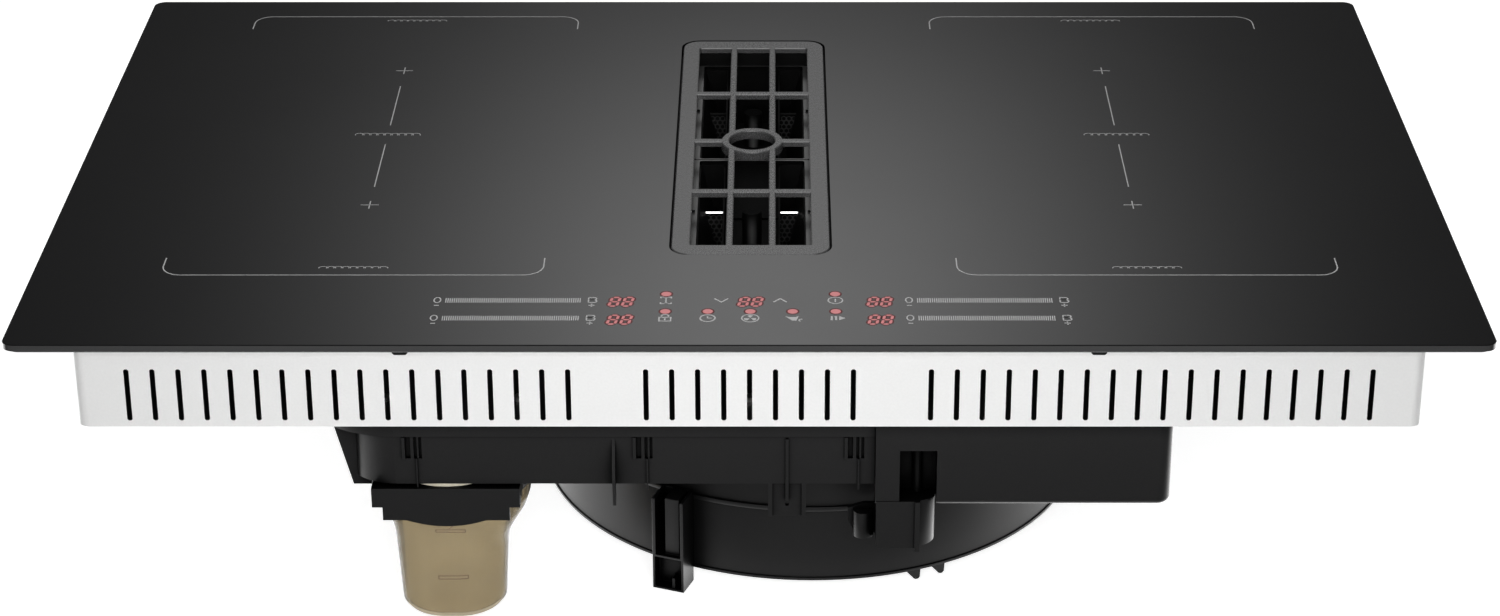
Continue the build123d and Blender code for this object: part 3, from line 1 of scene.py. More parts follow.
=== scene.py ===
import bpy
import bmesh
import json
import math
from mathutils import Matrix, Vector


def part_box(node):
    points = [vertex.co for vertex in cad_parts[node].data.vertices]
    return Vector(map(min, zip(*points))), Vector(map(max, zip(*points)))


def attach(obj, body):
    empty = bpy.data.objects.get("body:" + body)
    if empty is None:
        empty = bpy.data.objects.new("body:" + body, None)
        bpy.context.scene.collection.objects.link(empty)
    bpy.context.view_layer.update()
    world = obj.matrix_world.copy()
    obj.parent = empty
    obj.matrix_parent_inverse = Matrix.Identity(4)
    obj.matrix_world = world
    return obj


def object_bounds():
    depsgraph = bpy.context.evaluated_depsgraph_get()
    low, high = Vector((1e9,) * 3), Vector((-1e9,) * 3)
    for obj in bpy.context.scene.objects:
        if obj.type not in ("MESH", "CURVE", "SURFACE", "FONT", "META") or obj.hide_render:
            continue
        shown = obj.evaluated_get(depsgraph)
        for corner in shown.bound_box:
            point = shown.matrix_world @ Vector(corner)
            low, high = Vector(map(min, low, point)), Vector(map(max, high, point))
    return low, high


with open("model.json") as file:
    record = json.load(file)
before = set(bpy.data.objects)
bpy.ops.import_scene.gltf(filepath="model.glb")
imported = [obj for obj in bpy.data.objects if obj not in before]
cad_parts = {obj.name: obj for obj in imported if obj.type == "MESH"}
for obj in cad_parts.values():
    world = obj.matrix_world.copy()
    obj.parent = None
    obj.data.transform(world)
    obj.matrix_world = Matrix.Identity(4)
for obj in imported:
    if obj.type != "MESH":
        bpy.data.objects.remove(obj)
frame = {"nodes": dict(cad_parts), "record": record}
cadLow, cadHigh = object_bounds()
nodes = frame["nodes"]
mm = 0.001
glassTop = 0.004              # upper face of the glass, in metres
print("frame loaded:", len(nodes), "nodes")

viewFacts = {
    "place": (13.46, -1918.46, 857.44),   # camera, in millimetres from the middle of the glass
    "downward": 24.4228,                  # degrees below the horizon
    "lens": 80.8526,
    "sensor": 36,
    "shift": (-0.015667, -0.085333),
    "reach": 50,
}


def makeView():
    data = bpy.data.cameras.new("view")
    data.lens = viewFacts["lens"]
    data.sensor_fit = "HORIZONTAL"
    data.sensor_width = viewFacts["sensor"]
    data.shift_x, data.shift_y = viewFacts["shift"]
    data.clip_end = viewFacts["reach"]
    camera = bpy.data.objects.new("view", data)
    camera.location = [v * mm for v in viewFacts["place"]]
    camera.rotation_euler = (math.radians(90 - viewFacts["downward"]), 0, 0)
    bpy.context.collection.objects.link(camera)
    bpy.context.scene.camera = camera


noiseDetail = 3

# helpers for materials: each adds nodes to a tree and gives back the socket to use

def newMaterial(name):
    material = bpy.data.materials.new(name)
    material.use_nodes = True
    tree = material.node_tree
    return material, tree, tree.nodes["Principled BSDF"]


def feed(tree, value, socket):
    # another node's socket is linked, a plain value is set
    if isinstance(value, bpy.types.NodeSocket):
        tree.links.new(value, socket)
    else:
        socket.default_value = value


def addPlace(tree):
    # where a point lies, in metres from the middle of the glass
    place = tree.nodes.new("ShaderNodeTexCoord")
    apart = tree.nodes.new("ShaderNodeSeparateXYZ")
    tree.links.new(place.outputs["Object"], apart.inputs[0])
    return apart.outputs


def addNoise(tree, scale):
    place = tree.nodes.new("ShaderNodeTexCoord")
    noise = tree.nodes.new("ShaderNodeTexNoise")
    noise.inputs["Scale"].default_value = scale
    noise.inputs["Detail"].default_value = noiseDetail
    tree.links.new(place.outputs["Object"], noise.inputs["Vector"])
    return noise.outputs["Fac"]


def addRange(tree, source, low, high, fromLow=0.3, fromHigh=0.7):
    # the levels to start from suit the noise
    spread = tree.nodes.new("ShaderNodeMapRange")
    spread.inputs["From Min"].default_value = fromLow
    spread.inputs["From Max"].default_value = fromHigh
    spread.inputs["To Min"].default_value = low
    spread.inputs["To Max"].default_value = high
    tree.links.new(source, spread.inputs["Value"])
    return spread.outputs[0]


def addMix(tree, share, first, second):
    mix = tree.nodes.new("ShaderNodeMix")
    mix.data_type = "RGBA"
    tree.links.new(share, mix.inputs["Factor"])
    for name, colour in (("A", first), ("B", second)):
        feed(tree, (*colour, 1) if isinstance(colour, tuple) else colour, mix.inputs[name])
    return mix.outputs["Result"]


def addMath(tree, operation, first, second=None):
    node = tree.nodes.new("ShaderNodeMath")
    node.operation = operation
    feed(tree, first, node.inputs[0])
    if second is not None:
        feed(tree, second, node.inputs[1])
    return node.outputs[0]


def addVector(tree, operation, first, second):
    node = tree.nodes.new("ShaderNodeVectorMath")
    node.operation = operation
    feed(tree, first, node.inputs[0])
    feed(tree, second, node.inputs[1])
    return node.outputs["Value" if operation == "DOT_PRODUCT" else "Vector"]


def addBump(tree, shader, source, strength, depth):
    bump = tree.nodes.new("ShaderNodeBump")
    bump.inputs["Strength"].default_value = strength
    bump.inputs["Distance"].default_value = depth
    tree.links.new(source, bump.inputs["Height"])
    tree.links.new(bump.outputs[0], shader.inputs["Normal"])


stageFacts = {
    "floorReach": 14,
    "floorDrop": 0.0006,          # the floor lies this far under the lowest foot
    "floorColour": (0.8, 0.8, 0.8, 1),
    "floorRough": 0.9,
    "floorSpecular": 0.1,
    "floorGlow": 0.8,             # what the eye adds to the floor
    "floorThrough": 0.64,         # the same, seen through the cup
    # what gloss adds to it: depth in metres from the middle of the glass, and level; the dip just
    # in front of the object is a painted shadow
    "floorShine": ((-0.47, 0.34), (-0.41, 0.02), (-0.28, 0.02), (-0.13, 3.4)),
    "skyLevel": 0.22,             # light that reaches the object from all round
    "hoodRadius": 4,
    "hoodSegments": (64, 32),
    "hoodFoot": -0.3,
    "hoodDark": 0.066,            # what gloss sees of the hood, away from its bright patch
    "patchBright": 1.33,
    "patchHeading": (0.0, 0.86, 0.49),
    "patchSpread": (0.112, 0.3, 0.085),
    "horizonBright": 0.75,        # what gloss sees of the white studio low down
    "horizonTop": 0.2,
}
lampFacts = {
    # name: place, aim, width, height, watts
    "frontSoft": ((0.0, -1.05, 0.3), (0.0, -0.2, -0.05), 0.45, 0.4, 5.6),
    "overhead": ((0.0, -0.5, 2.4), (0.0, 0.0, 0.0), 1.4, 1.4, 16),
    "leftStrip": ((-2.3, -0.9, 0.1), (0.0, 0.0, -0.15), 0.25, 1.6, 1),
    "rightStrip": ((2.3, -0.9, 0.2), (0.0, 0.0, -0.12), 0.25, 1.6, 1),
}


def makeFloor():
    reach = stageFacts["floorReach"]
    low = cadLow[2] - stageFacts["floorDrop"]
    mesh = bpy.data.meshes.new("floor")
    mesh.from_pydata(
        [(-reach, -reach, low), (reach, -reach, low), (reach, reach, low), (-reach, reach, low)],
        [], [(0, 1, 2, 3)],
    )
    floor = bpy.data.objects.new("floor", mesh)
    bpy.context.collection.objects.link(floor)
    material, tree, shader = newMaterial("paleFloor")
    shader.inputs["Base Color"].default_value = stageFacts["floorColour"]
    shader.inputs["Roughness"].default_value = stageFacts["floorRough"]
    shader.inputs["Specular IOR Level"].default_value = stageFacts["floorSpecular"]
    # the eye sees the floor as white paper, with the object's shadow still on it
    path = tree.nodes.new("ShaderNodeLightPath")
    through = path.outputs["Is Transmission Ray"]
    straight = addMath(tree, "MULTIPLY", path.outputs["Is Camera Ray"], stageFacts["floorGlow"])
    behind = addMath(tree, "MULTIPLY", through, stageFacts["floorThrough"])
    eye = addMath(tree, "MAXIMUM", straight, behind)
    # gloss sees a floor that brightens towards the back, with a painted shadow in a dip just in
    # front of the object
    depth = addPlace(tree)["Y"]
    levels = stageFacts["floorShine"]
    shine = levels[0][1]
    for before, after in zip(levels, levels[1:]):
        step = addRange(tree, depth, 0, after[1] - before[1], before[0], after[0])
        shine = addMath(tree, "ADD", step, shine)
    mirrored = addMath(tree, "GREATER_THAN", path.outputs["Is Glossy Ray"], through)
    gloss = addMath(tree, "MULTIPLY", mirrored, shine)
    glow = tree.nodes.new("ShaderNodeEmission")
    both = tree.nodes.new("ShaderNodeAddShader")
    tree.links.new(addMath(tree, "MAXIMUM", eye, gloss), glow.inputs["Strength"])
    tree.links.new(shader.outputs[0], both.inputs[0])
    tree.links.new(glow.outputs[0], both.inputs[1])
    tree.links.new(both.outputs[0], tree.nodes["Material Output"].inputs[0])
    mesh.materials.append(material)


def makeHood():
    # a dim cloth hood with one bright patch, which shiny surfaces mirror
    mesh = bpy.data.meshes.new("hood")
    shape = bmesh.new()
    radius = stageFacts["hoodRadius"]
    around, upward = stageFacts["hoodSegments"]
    bmesh.ops.create_uvsphere(shape, u_segments=around, v_segments=upward, radius=radius)
    low = [v for v in shape.verts if v.co.z < stageFacts["hoodFoot"]]
    bmesh.ops.delete(shape, geom=low, context="VERTS")
    shape.to_mesh(mesh)
    shape.free()
    hood = bpy.data.objects.new("hood", mesh)
    bpy.context.collection.objects.link(hood)
    hood.visible_camera = False
    hood.visible_diffuse = False
    hood.visible_transmission = False
    hood.visible_volume_scatter = False
    hood.visible_shadow = False
    material, tree, shader = newMaterial("hoodCloth")
    tree.nodes.remove(shader)
    place = tree.nodes.new("ShaderNodeTexCoord")
    heading = addVector(tree, "DIVIDE", place.outputs["Object"], (radius, radius, radius))
    away = addVector(tree, "SUBTRACT", heading, stageFacts["patchHeading"])
    spread = addVector(tree, "DIVIDE", away, stageFacts["patchSpread"])
    far = addVector(tree, "DOT_PRODUCT", spread, spread)
    fade = addMath(tree, "EXPONENT", addMath(tree, "MULTIPLY", far, -0.5))
    patch = addMath(tree, "MULTIPLY", fade, stageFacts["patchBright"])
    apart = tree.nodes.new("ShaderNodeSeparateXYZ")
    tree.links.new(heading, apart.inputs[0])
    band = addRange(
        tree, apart.outputs["Z"], stageFacts["horizonBright"], stageFacts["hoodDark"],
        0, stageFacts["horizonTop"])
    glow = tree.nodes.new("ShaderNodeEmission")
    tree.links.new(addMath(tree, "ADD", patch, band), glow.inputs["Strength"])
    tree.links.new(glow.outputs[0], tree.nodes["Material Output"].inputs[0])
    mesh.materials.append(material)


def makeSky():
    # dim where it lights the object, white where it is seen
    world = bpy.context.scene.world or bpy.data.worlds.new("sky")
    bpy.context.scene.world = world
    world.use_nodes = True
    tree = world.node_tree
    tree.nodes.clear()
    rays = tree.nodes.new("ShaderNodeLightPath").outputs
    seen = addMath(tree, "MAXIMUM", rays["Is Glossy Ray"], rays["Is Transmission Ray"])
    seen = addMath(tree, "MAXIMUM", rays["Is Camera Ray"], seen)
    back = tree.nodes.new("ShaderNodeBackground")
    level = addRange(tree, seen, stageFacts["skyLevel"], 1, 0, 1)
    tree.links.new(level, back.inputs["Strength"])
    out = tree.nodes.new("ShaderNodeOutputWorld")
    tree.links.new(back.outputs[0], out.inputs[0])


def makeLamps():
    for name, (place, aim, wide, high, watts) in lampFacts.items():
        lamp = bpy.data.lights.new(name, "AREA")
        lamp.shape = "RECTANGLE"
        lamp.size = wide
        lamp.size_y = high
        lamp.energy = watts
        light = bpy.data.objects.new(name, lamp)
        light.location = place
        heading = Vector(aim) - Vector(place)
        light.rotation_euler = heading.to_track_quat("-Z", "Y").to_euler()
        bpy.context.collection.objects.link(light)


makeView()
makeFloor()
makeHood()
makeSky()
makeLamps()
bpy.context.scene.view_settings.view_transform = "Standard"
print("view, stage and lamps placed")


def shades(dark, light):
    # two plain greys
    return (dark,) * 3, (light,) * 3


finishes = {
    # name: dark and light colour, roughness from and to, metal, specular,
    # scale of the noise, bump, depth of the bump
    "blackGlass": (
        (0.006, 0.006, 0.0065), (0.007, 0.007, 0.0075), 0.1, 0.13, 0, 0.5, 9, 0, 0),
    "whitePaint": (
        (0.84, 0.84, 0.835), (0.87, 0.87, 0.865), 0.42, 0.5, 0, 0.4, 700, 0.05, 0.0002),
    "blackMoulding": (
        (0.0045, 0.0045, 0.0047), (0.0065, 0.0065, 0.0067), 0.3, 0.4, 0, 0.2, 1400, 0.1, 0.0001),
    "drumMoulding": (
        (0.0018, 0.0018, 0.0019), (0.0028, 0.0028, 0.0029), 0.34, 0.42, 0, 0.2, 1400, 0.08, 0.0001),
    "innerMoulding": (*shades(0.003, 0.0045), 0.5, 0.6, 0, 0.1, 1400, 0.1, 0.0001),
    "grilleCoat": (
        (0.08, 0.08, 0.081), (0.095, 0.095, 0.096), 0.24, 0.3, 0.15, 0.85, 1600, 0.1, 0.0001),
    "filterSteel": (
        (0.2, 0.2, 0.2), (0.26, 0.26, 0.258), 0.34, 0.44, 0.85, 0.5, 400, 0.08, 0.0001),
    "filterMesh": (*shades(0.003, 0.005), 0.5, 0.65, 0, 0.1, 900, 0.1, 0.0001),
    "meshWeb": (*shades(0.05, 0.07), 0.45, 0.55, 0.2, 0.5, 700, 0.06, 0.0001),
    "postSteel": (*shades(0.16, 0.2), 0.4, 0.5, 0.1, 0.5, 500, 0.05, 0.0001),
    "polishedRim": (
        (0.88, 0.88, 0.87), (0.93, 0.93, 0.92), 0.14, 0.2, 1, 0.5, 500, 0.03, 0.0001),
    "zincSteel": ((0.5, 0.5, 0.47), (0.62, 0.62, 0.6), 0.26, 0.4, 1, 0.5, 260, 0.06, 0.0001),
    "copperWire": ((0.42, 0.16, 0.06), (0.62, 0.27, 0.12), 0.3, 0.45, 0.7, 0.5, 500, 0.1, 0.0001),
    "formerPlastic": ((0.7, 0.68, 0.62), (0.76, 0.74, 0.69), 0.5, 0.6, 0, 0.4, 300, 0.08, 0.0001),
    "ferrite": ((0.06, 0.06, 0.065), (0.09, 0.09, 0.095), 0.55, 0.7, 0, 0.4, 900, 0.3, 0.0002),
    "micaSheet": ((0.5, 0.44, 0.32), (0.7, 0.64, 0.5), 0.35, 0.55, 0, 0.5, 120, 0.08, 0.0001),
    "plainAluminium": (
        (0.62, 0.62, 0.63), (0.72, 0.72, 0.73), 0.3, 0.42, 1, 0.5, 220, 0.06, 0.0001),
    "castMotor": ((0.4, 0.4, 0.41), (0.52, 0.52, 0.53), 0.42, 0.56, 0.8, 0.5, 500, 0.25, 0.0002),
    "boardGreen": ((0.02, 0.13, 0.05), (0.035, 0.2, 0.085), 0.3, 0.45, 0, 0.5, 90, 0.08, 0.0001),
    "displayBox": ((0.06, 0.008, 0.008), (0.1, 0.015, 0.015), 0.15, 0.25, 0, 0.5, 60, 0, 0),
    "sensorGlaze": ((0.8, 0.8, 0.76), (0.86, 0.86, 0.83), 0.16, 0.24, 0, 0.5, 60, 0.03, 0.0001),
    "creamMoulding": ((0.68, 0.62, 0.47), (0.78, 0.73, 0.6), 0.4, 0.5, 0, 0.4, 420, 0.06, 0.0001),
    "foamStrip": (*shades(0.1, 0.2), 0.85, 0.95, 0, 0.2, 2200, 0.6, 0.0003),
    "softSilicone": (*shades(0.04, 0.06), 0.5, 0.62, 0, 0.4, 300, 0.1, 0.0001),
    "printInk": (*shades(0.6, 0.68), 0.5, 0.6, 0, 0.3, 900, 0, 0),
    "lampRed": ((0.9, 0.33, 0.34), (0.94, 0.38, 0.39), 0.4, 0.5, 0, 0.3, 500, 0, 0),
    "haloRed": ((0.12, 0.02, 0.022), (0.15, 0.03, 0.03), 0.4, 0.5, 0, 0.3, 500, 0, 0),
    "markBrown": ((0.16, 0.1, 0.075), (0.2, 0.13, 0.095), 0.45, 0.55, 0, 0.3, 500, 0, 0),
}
pocketShadeReach, pocketShadeSamples = 0.02, 8
pocketShadeFacts = {
    # mouldings with painted shade in their pockets: how steeply it falls, and the colour painted
    # deep inside
    "blackMoulding": (2.4, (0.0005, 0.0005, 0.0005)),
    "drumMoulding": (1.6, None),
}
trayFacts = {
    # near black painted shade inside the tray
    "insideShade": (0.01, 0.01, 0.01),
    "skin": 0.4,              # the white goes this deep into the walls, in millimetres
    "corner": 4.5,            # and this deep along a corner's two sides together
}
rimFacts = {
    # painted shade of the upright sides
    "upright": (0.006, 0.006, 0.006),
    "level": (0.4, 0.8),      # how far a face looks up, from upright to bright
}
postFacts = {
    "dark": (0.003, 0.003, 0.003),
    "front": 3.5,             # half the width of the painted highlight down the front, in millimetres
    "heights": (-29, -40),    # where the painted highlight starts and is full
}


def paintTray(tree, painted):
    # white outside; inside, near black as painted shade of the enclosed tray
    low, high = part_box("housing_tray")
    skin = trayFacts["skin"] * mm
    at = addPlace(tree)
    inside = 1
    for axis, limit, test in (
            ("X", high[0] - skin, "LESS_THAN"), ("X", low[0] + skin, "GREATER_THAN"),
            ("Y", high[1] - skin, "LESS_THAN"), ("Y", low[1] + skin, "GREATER_THAN"),
            ("Z", low[2] + skin, "GREATER_THAN")):
        inside = addMath(tree, "MULTIPLY", inside, addMath(tree, test, at[axis], limit))
    # the rounded corners of the wall are outside too
    reach = addMath(tree, "ADD", *(addMath(tree, "ABSOLUTE", at[axis]) for axis in ("X", "Y")))
    corner = high[0] + high[1] - trayFacts["corner"] * mm
    inside = addMath(tree, "MULTIPLY", inside, addMath(tree, "LESS_THAN", reach, corner))
    return addMix(tree, inside, painted, trayFacts["insideShade"])


def shadeRimSides(tree, bright):
    # bright on top, with painted shade on the upright sides
    facing = tree.nodes.new("ShaderNodeNewGeometry")
    apart = tree.nodes.new("ShaderNodeSeparateXYZ")
    tree.links.new(facing.outputs["Normal"], apart.inputs[0])
    upward = addRange(tree, apart.outputs["Z"], 0, 1, *rimFacts["level"])
    return addMix(tree, upward, rimFacts["upright"], bright)


def paintPostHighlight(tree, highlightColour):
    # a painted highlight along its front, growing towards its foot
    at = addPlace(tree)
    across = addMath(tree, "ABSOLUTE", at["X"])
    front = addRange(tree, across, 1, 0, 0, postFacts["front"] * mm)
    foot = addRange(tree, at["Z"], 0, 1, *(z * mm for z in postFacts["heights"]))
    return addMix(tree, addMath(tree, "MULTIPLY", front, foot), postFacts["dark"], highlightColour)


recoloured = {"whitePaint": paintTray, "filterSteel": shadeRimSides, "postSteel": paintPostHighlight}


def makeFinish(name):
    dark, light, roughLow, roughHigh, metal, specular, scale, bump, depth = finishes[name]
    material, tree, shader = newMaterial(name)
    noise = addNoise(tree, scale)
    colour = addMix(tree, addRange(tree, noise, 0, 1), dark, light)
    shader.inputs["Metallic"].default_value = metal
    shader.inputs["Specular IOR Level"].default_value = specular
    tree.links.new(addRange(tree, noise, roughLow, roughHigh), shader.inputs["Roughness"])
    if bump:
        addBump(tree, shader, noise, bump, depth)
    if name in recoloured:
        colour = recoloured[name](tree, colour)
    # painted shade: ambient occlusion darkens the gloss in pockets, and the colour too where a deep
    # colour is given
    if name in pocketShadeFacts:
        steep, deep = pocketShadeFacts[name]
        pocketShadeNode = tree.nodes.new("ShaderNodeAmbientOcclusion")
        pocketShadeNode.samples = pocketShadeSamples
        pocketShadeNode.inputs["Distance"].default_value = pocketShadeReach
        share = addMath(tree, "POWER", pocketShadeNode.outputs["AO"], steep)
        gloss = addMath(tree, "MULTIPLY", share, specular)
        tree.links.new(gloss, shader.inputs["Specular IOR Level"])
        if deep:
            colour = addMix(tree, share, deep, colour)
    tree.links.new(colour, shader.inputs["Base Color"])
    return material


cupPlastic = {
    "grain": 60,
    "tint": ((0.6, 0.53, 0.395), (0.64, 0.57, 0.43)),
    "outline": (0.05, 0.045, 0.035),
    "slant": (0.66, 0.86),        # how far a face turns away, from clear wall to outline
    "clear": (0.85, 0.05),        # share of light let through by the wall and by the outline
    "rough": (0.16, 0.24),
    "bend": 1.06,
    "shine": (0.12, 0.12, 0.11, 1),
}


def makeCupPlastic():
    material, tree, shader = newMaterial("smokyPlastic")
    noise = addNoise(tree, cupPlastic["grain"])
    tint = addMix(tree, addRange(tree, noise, 0, 1), *cupPlastic["tint"])
    # painted shade: the wall seen along its length is made nearly black and lets little light
    # through, which draws the cup's dark outline
    turned = tree.nodes.new("ShaderNodeLayerWeight")
    turned.inputs["Blend"].default_value = 0.5
    edge = addRange(tree, turned.outputs["Facing"], 0, 1, *cupPlastic["slant"])
    colour = addMix(tree, edge, tint, cupPlastic["outline"])
    tree.links.new(colour, shader.inputs["Base Color"])
    tree.links.new(addRange(tree, noise, *cupPlastic["rough"]), shader.inputs["Roughness"])
    clear = addRange(tree, edge, *cupPlastic["clear"], 0, 1)
    tree.links.new(clear, shader.inputs["Transmission Weight"])
    shader.inputs["IOR"].default_value = cupPlastic["bend"]
    shader.inputs["Specular Tint"].default_value = cupPlastic["shine"]
    return material


madeFinishes = {name: makeFinish(name) for name in finishes}
madeFinishes["smokyPlastic"] = makeCupPlastic()

slotFinish = {
    "black_glass": "blackGlass", "rim_foam": "foamStrip", "silicone": "softSilicone",
    "white_steel": "whitePaint", "black_plastic": "blackMoulding", "grille_metal": "grilleCoat",
    "filter_steel": "filterSteel", "zinc_steel": "zincSteel", "litz_wire": "copperWire",
    "former_plastic": "formerPlastic", "ferrite": "ferrite", "mica": "micaSheet",
    "aluminium": "plainAluminium", "motor_metal": "castMotor", "circuit_board": "boardGreen",
    "display": "displayBox", "sensor_white": "sensorGlaze", "cream_plastic": "creamMoulding",
    "smoky_plastic": "smokyPlastic",
}
# innerMoulding and filterMesh are darker copies of their slots' finishes, painted shade on parts
# deep inside
nodeFinish = {   # nodes that differ from the rest of their slot
    "duct_well": "innerMoulding", "fan_wheel": "innerMoulding",
    "filter_basket_front": "filterMesh", "filter_basket_rear": "filterMesh",
    "casing_upper": "drumMoulding", "casing_lower": "drumMoulding",
}
edgeSoftening = {   # nodes whose edges are eased, and by how many millimetres; 0 only welds them
    "air_box": 0.5, "driver_box": 0.6, "cup_holder": 0.5, "support_leg": 0.5,
    "casing_lower": 0.4, "casing_upper": 0.4, "housing_tray": 0.25, "overflow_cup": 0,
    "exhaust_collar": 0.5, "edge_clips": 0.5, "drain_ring": 0.4,
}
easeFacts = {"weld": 0.01, "segments": 2, "sharp": 40}   # millimetres, rows, degrees


def dressNodes():
    for entry in frame["record"]["subparts"]:
        node = nodes[entry["node"]]
        finish = nodeFinish.get(entry["node"], slotFinish[entry["material_slot"]])
        if not node.material_slots:
            node.data.materials.append(madeFinishes[finish])
        for place in node.material_slots:
            place.material = madeFinishes[finish]
        ease = edgeSoftening.get(entry["node"])
        if ease is None:
            continue
        weld = node.modifiers.new("weld", "WELD")
        weld.merge_threshold = easeFacts["weld"] * mm
        if ease:
            bevel = node.modifiers.new("easedEdges", "BEVEL")
            bevel.width = ease * mm
            bevel.segments = easeFacts["segments"]
            bevel.limit_method = "ANGLE"
            bevel.angle_limit = math.radians(easeFacts["sharp"])
            bevel.harden_normals = False


dressNodes()
print("finishes given to", len(nodes), "nodes")


# helpers for drawing: faces are lists of corners, in millimetres

def strokeFaces(points, width, closed=False):
    # a drawn line becomes quads with mitred corners
    half = width / 2
    points = [at for n, at in enumerate(points) if n == 0 or math.dist(at, points[n - 1]) > 0.001]
    count = len(points)
    left, right = [], []
    for i, (x, y) in enumerate(points):
        steps = []
        if closed or i > 0:
            steps.append((x - points[i - 1][0], y - points[i - 1][1]))
        if closed or i < count - 1:
            after = points[(i + 1) % count]
            steps.append((after[0] - x, after[1] - y))
        units = [(a / math.hypot(a, b), b / math.hypot(a, b)) for a, b in steps]
        tx, ty = sum(u[0] for u in units), sum(u[1] for u in units)
        size = math.hypot(tx, ty) or 1
        nx, ny = -ty / size, tx / size
        grow = half / max(0.4, nx * -units[0][1] + ny * units[0][0])
        left.append((x + nx * grow, y + ny * grow))
        right.append((x - nx * grow, y - ny * grow))
    last = count if closed else count - 1
    return [
        [left[i], right[i], right[(i + 1) % count], left[(i + 1) % count]] for i in range(last)
    ]


def arcPoints(x, y, radius, start, end, steps=12, squeeze=1.0):
    points = []
    for n in range(steps + 1):
        turn = math.radians(start + (end - start) * n / steps)
        points.append((x + radius * math.cos(turn), y + squeeze * radius * math.sin(turn)))
    return points


def ringFaces(x, y, radius, width, steps=36, squeeze=1.0):
    points = arcPoints(x, y, radius, 0, 360, steps, squeeze)
    return strokeFaces(points[:-1], width, closed=True)


def discFace(x, y, radius, steps=28):
    return [arcPoints(x, y, radius, 0, 360, steps)[:-1]]


def barFace(x, y, wide, high):
    return [[(x - wide / 2, y - high / 2), (x + wide / 2, y - high / 2),
             (x + wide / 2, y + high / 2), (x - wide / 2, y + high / 2)]]


def onGlass(lift):
    return lambda x, y: (x * mm, y * mm, glassTop + lift * mm)


def addPiece(name, verts, faces, finish, body, slot):
    mesh = bpy.data.meshes.new(name)
    mesh.from_pydata(verts, [], faces)
    mesh.materials.append(madeFinishes[finish])
    piece = bpy.data.objects.new(name, mesh)
    bpy.context.collection.objects.link(piece)
    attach(piece, body)
    return piece


def drawnPiece(name, faces, onto, finish, body="hob", slot="black_glass"):
    # flat faces are laid on a surface of the part, each one facing out
    verts, polygons = [], []
    for face in faces:
        first = len(verts)
        verts.extend(onto(*at) for at in face)
        area = sum(
            face[i - 1][0] * face[i][1] - face[i][0] * face[i - 1][1] for i in range(len(face)))
        order = list(range(first, first + len(face)))
        polygons.append(order if area > 0 else order[::-1])
    addPiece(name, verts, polygons, finish, body, slot)


printLift = 0.02              # ink, halo and light lie this far above the glass, in millimetres
haloLift = 0.012
lightLift = 0.03

zonePrint = {
    "middle": (230, 30),        # of the right zone; the left one mirrors it
    "bracket": (119.8, 340.4),  # from and to, across
    "rows": (-171.6, 231.7),    # front and back lines
    "leg": 22.6,
    "corner": 11.5,
    "line": 0.75,
    "fineLine": 0.675,
    "crossOut": 105.3,          # from the middle to the small crosses
    "crossArm": 11,
    "axis": (15, 79),           # from and to, along the line to each cross
}
coilSign = {
    "loops": 9,
    "sizes": ((40, 5), (39, 3.6), (39, 3.6)),   # in the middle, at the front and at the back
    "inset": (9.5, -7.7),       # from the front and the back line
    "overlap": 0.62,
    "turn": (200, -20),
    "squeeze": 0.75,
    "line": 0.5,
}


def coilFaces(x, y, wide, high):
    p = coilSign
    pitch = wide / p["loops"]
    faces = []
    for n in range(p["loops"]):
        middle = x + (n - (p["loops"] - 1) / 2) * pitch
        loop = arcPoints(
            middle, y, pitch * p["overlap"], *p["turn"], 12, high / pitch * p["squeeze"])
        faces += strokeFaces(loop, p["line"])
    return faces


def drawZones():
    p = zonePrint
    low, high = p["bracket"]
    corner, line, fine = p["corner"], p["line"], p["fineLine"]
    near, far = p["axis"]
    faces = []
    for side in (-1, 1):
        for row, way in zip(p["rows"], (1, -1)):
            foot, bend = row + way * p["leg"], row + way * corner
            path = [(low, foot)]
            path += arcPoints(low + corner, bend, corner, 180, 180 + way * 90, 8)
            path += arcPoints(high - corner, bend, corner, 180 + way * 90, 180 + way * 180, 8)
            path.append((high, foot))
            faces += strokeFaces([(side * x, y) for x, y in path], line)
        x, y = side * p["middle"][0], p["middle"][1]
        for way in (-1, 1):
            cross = y + way * p["crossOut"]
            faces += barFace(x, cross, p["crossArm"], line)
            faces += barFace(x, cross, fine, p["crossArm"])
            faces += barFace(x, y + way * (near + far) / 2, fine, far - near)
        signRows = [y] + [row + inset for row, inset in zip(p["rows"], coilSign["inset"])]
        for row, size in zip(signRows, coilSign["sizes"]):
            faces += coilFaces(x, row, *size)
    drawnPiece("zone_print", faces, onGlass(printLift), "printInk")


controlRows = {"upper": -204.4, "lower": -226.8}
controlPrint = {
    "slider": ((-172.6, -95.3), (95.3, 172.6)),
    "tickPitch": 1.21,
    "tick": (0.62, 5.7),
    "zeroAt": (-177.5, 90.4),
    "zero": (0.4, 1.9, 1.7, 0.75),            # rise, radius, squeeze, line
    "zeroFoot": (-6.4, 2.8, 0.9),             # rise, width, height
    "boostAt": (-89.6, 178.3),
    "boostStem": -2,
    "boostWaist": 1,
    "boostBows": ((-2.8, 0.6), (0.6, 3.6)),   # from and to, upwards
    "boostFoot": ((-6.2, 3.4, 0.9), (-6.2, 0.8, 3.8)),
    "line": 0.8,
}

# the signs over the touch keys, each drawn about its middle

def bridgeSign(x, y):
    faces = []
    for sx in (-1, 1):
        for sy in (-1, 1):
            hook = [(x + sx * 3, y + sy * 2.6), (x + sx * 3, y + sy * 4.2)]
            faces += strokeFaces(hook + [(x + sx * 1.2, y + sy * 4.2)], 0.9)
    return faces + barFace(x, y, 0.8, 7) + barFace(x, y + 3.4, 2, 0.8) + barFace(x, y - 3.4, 2, 0.8)


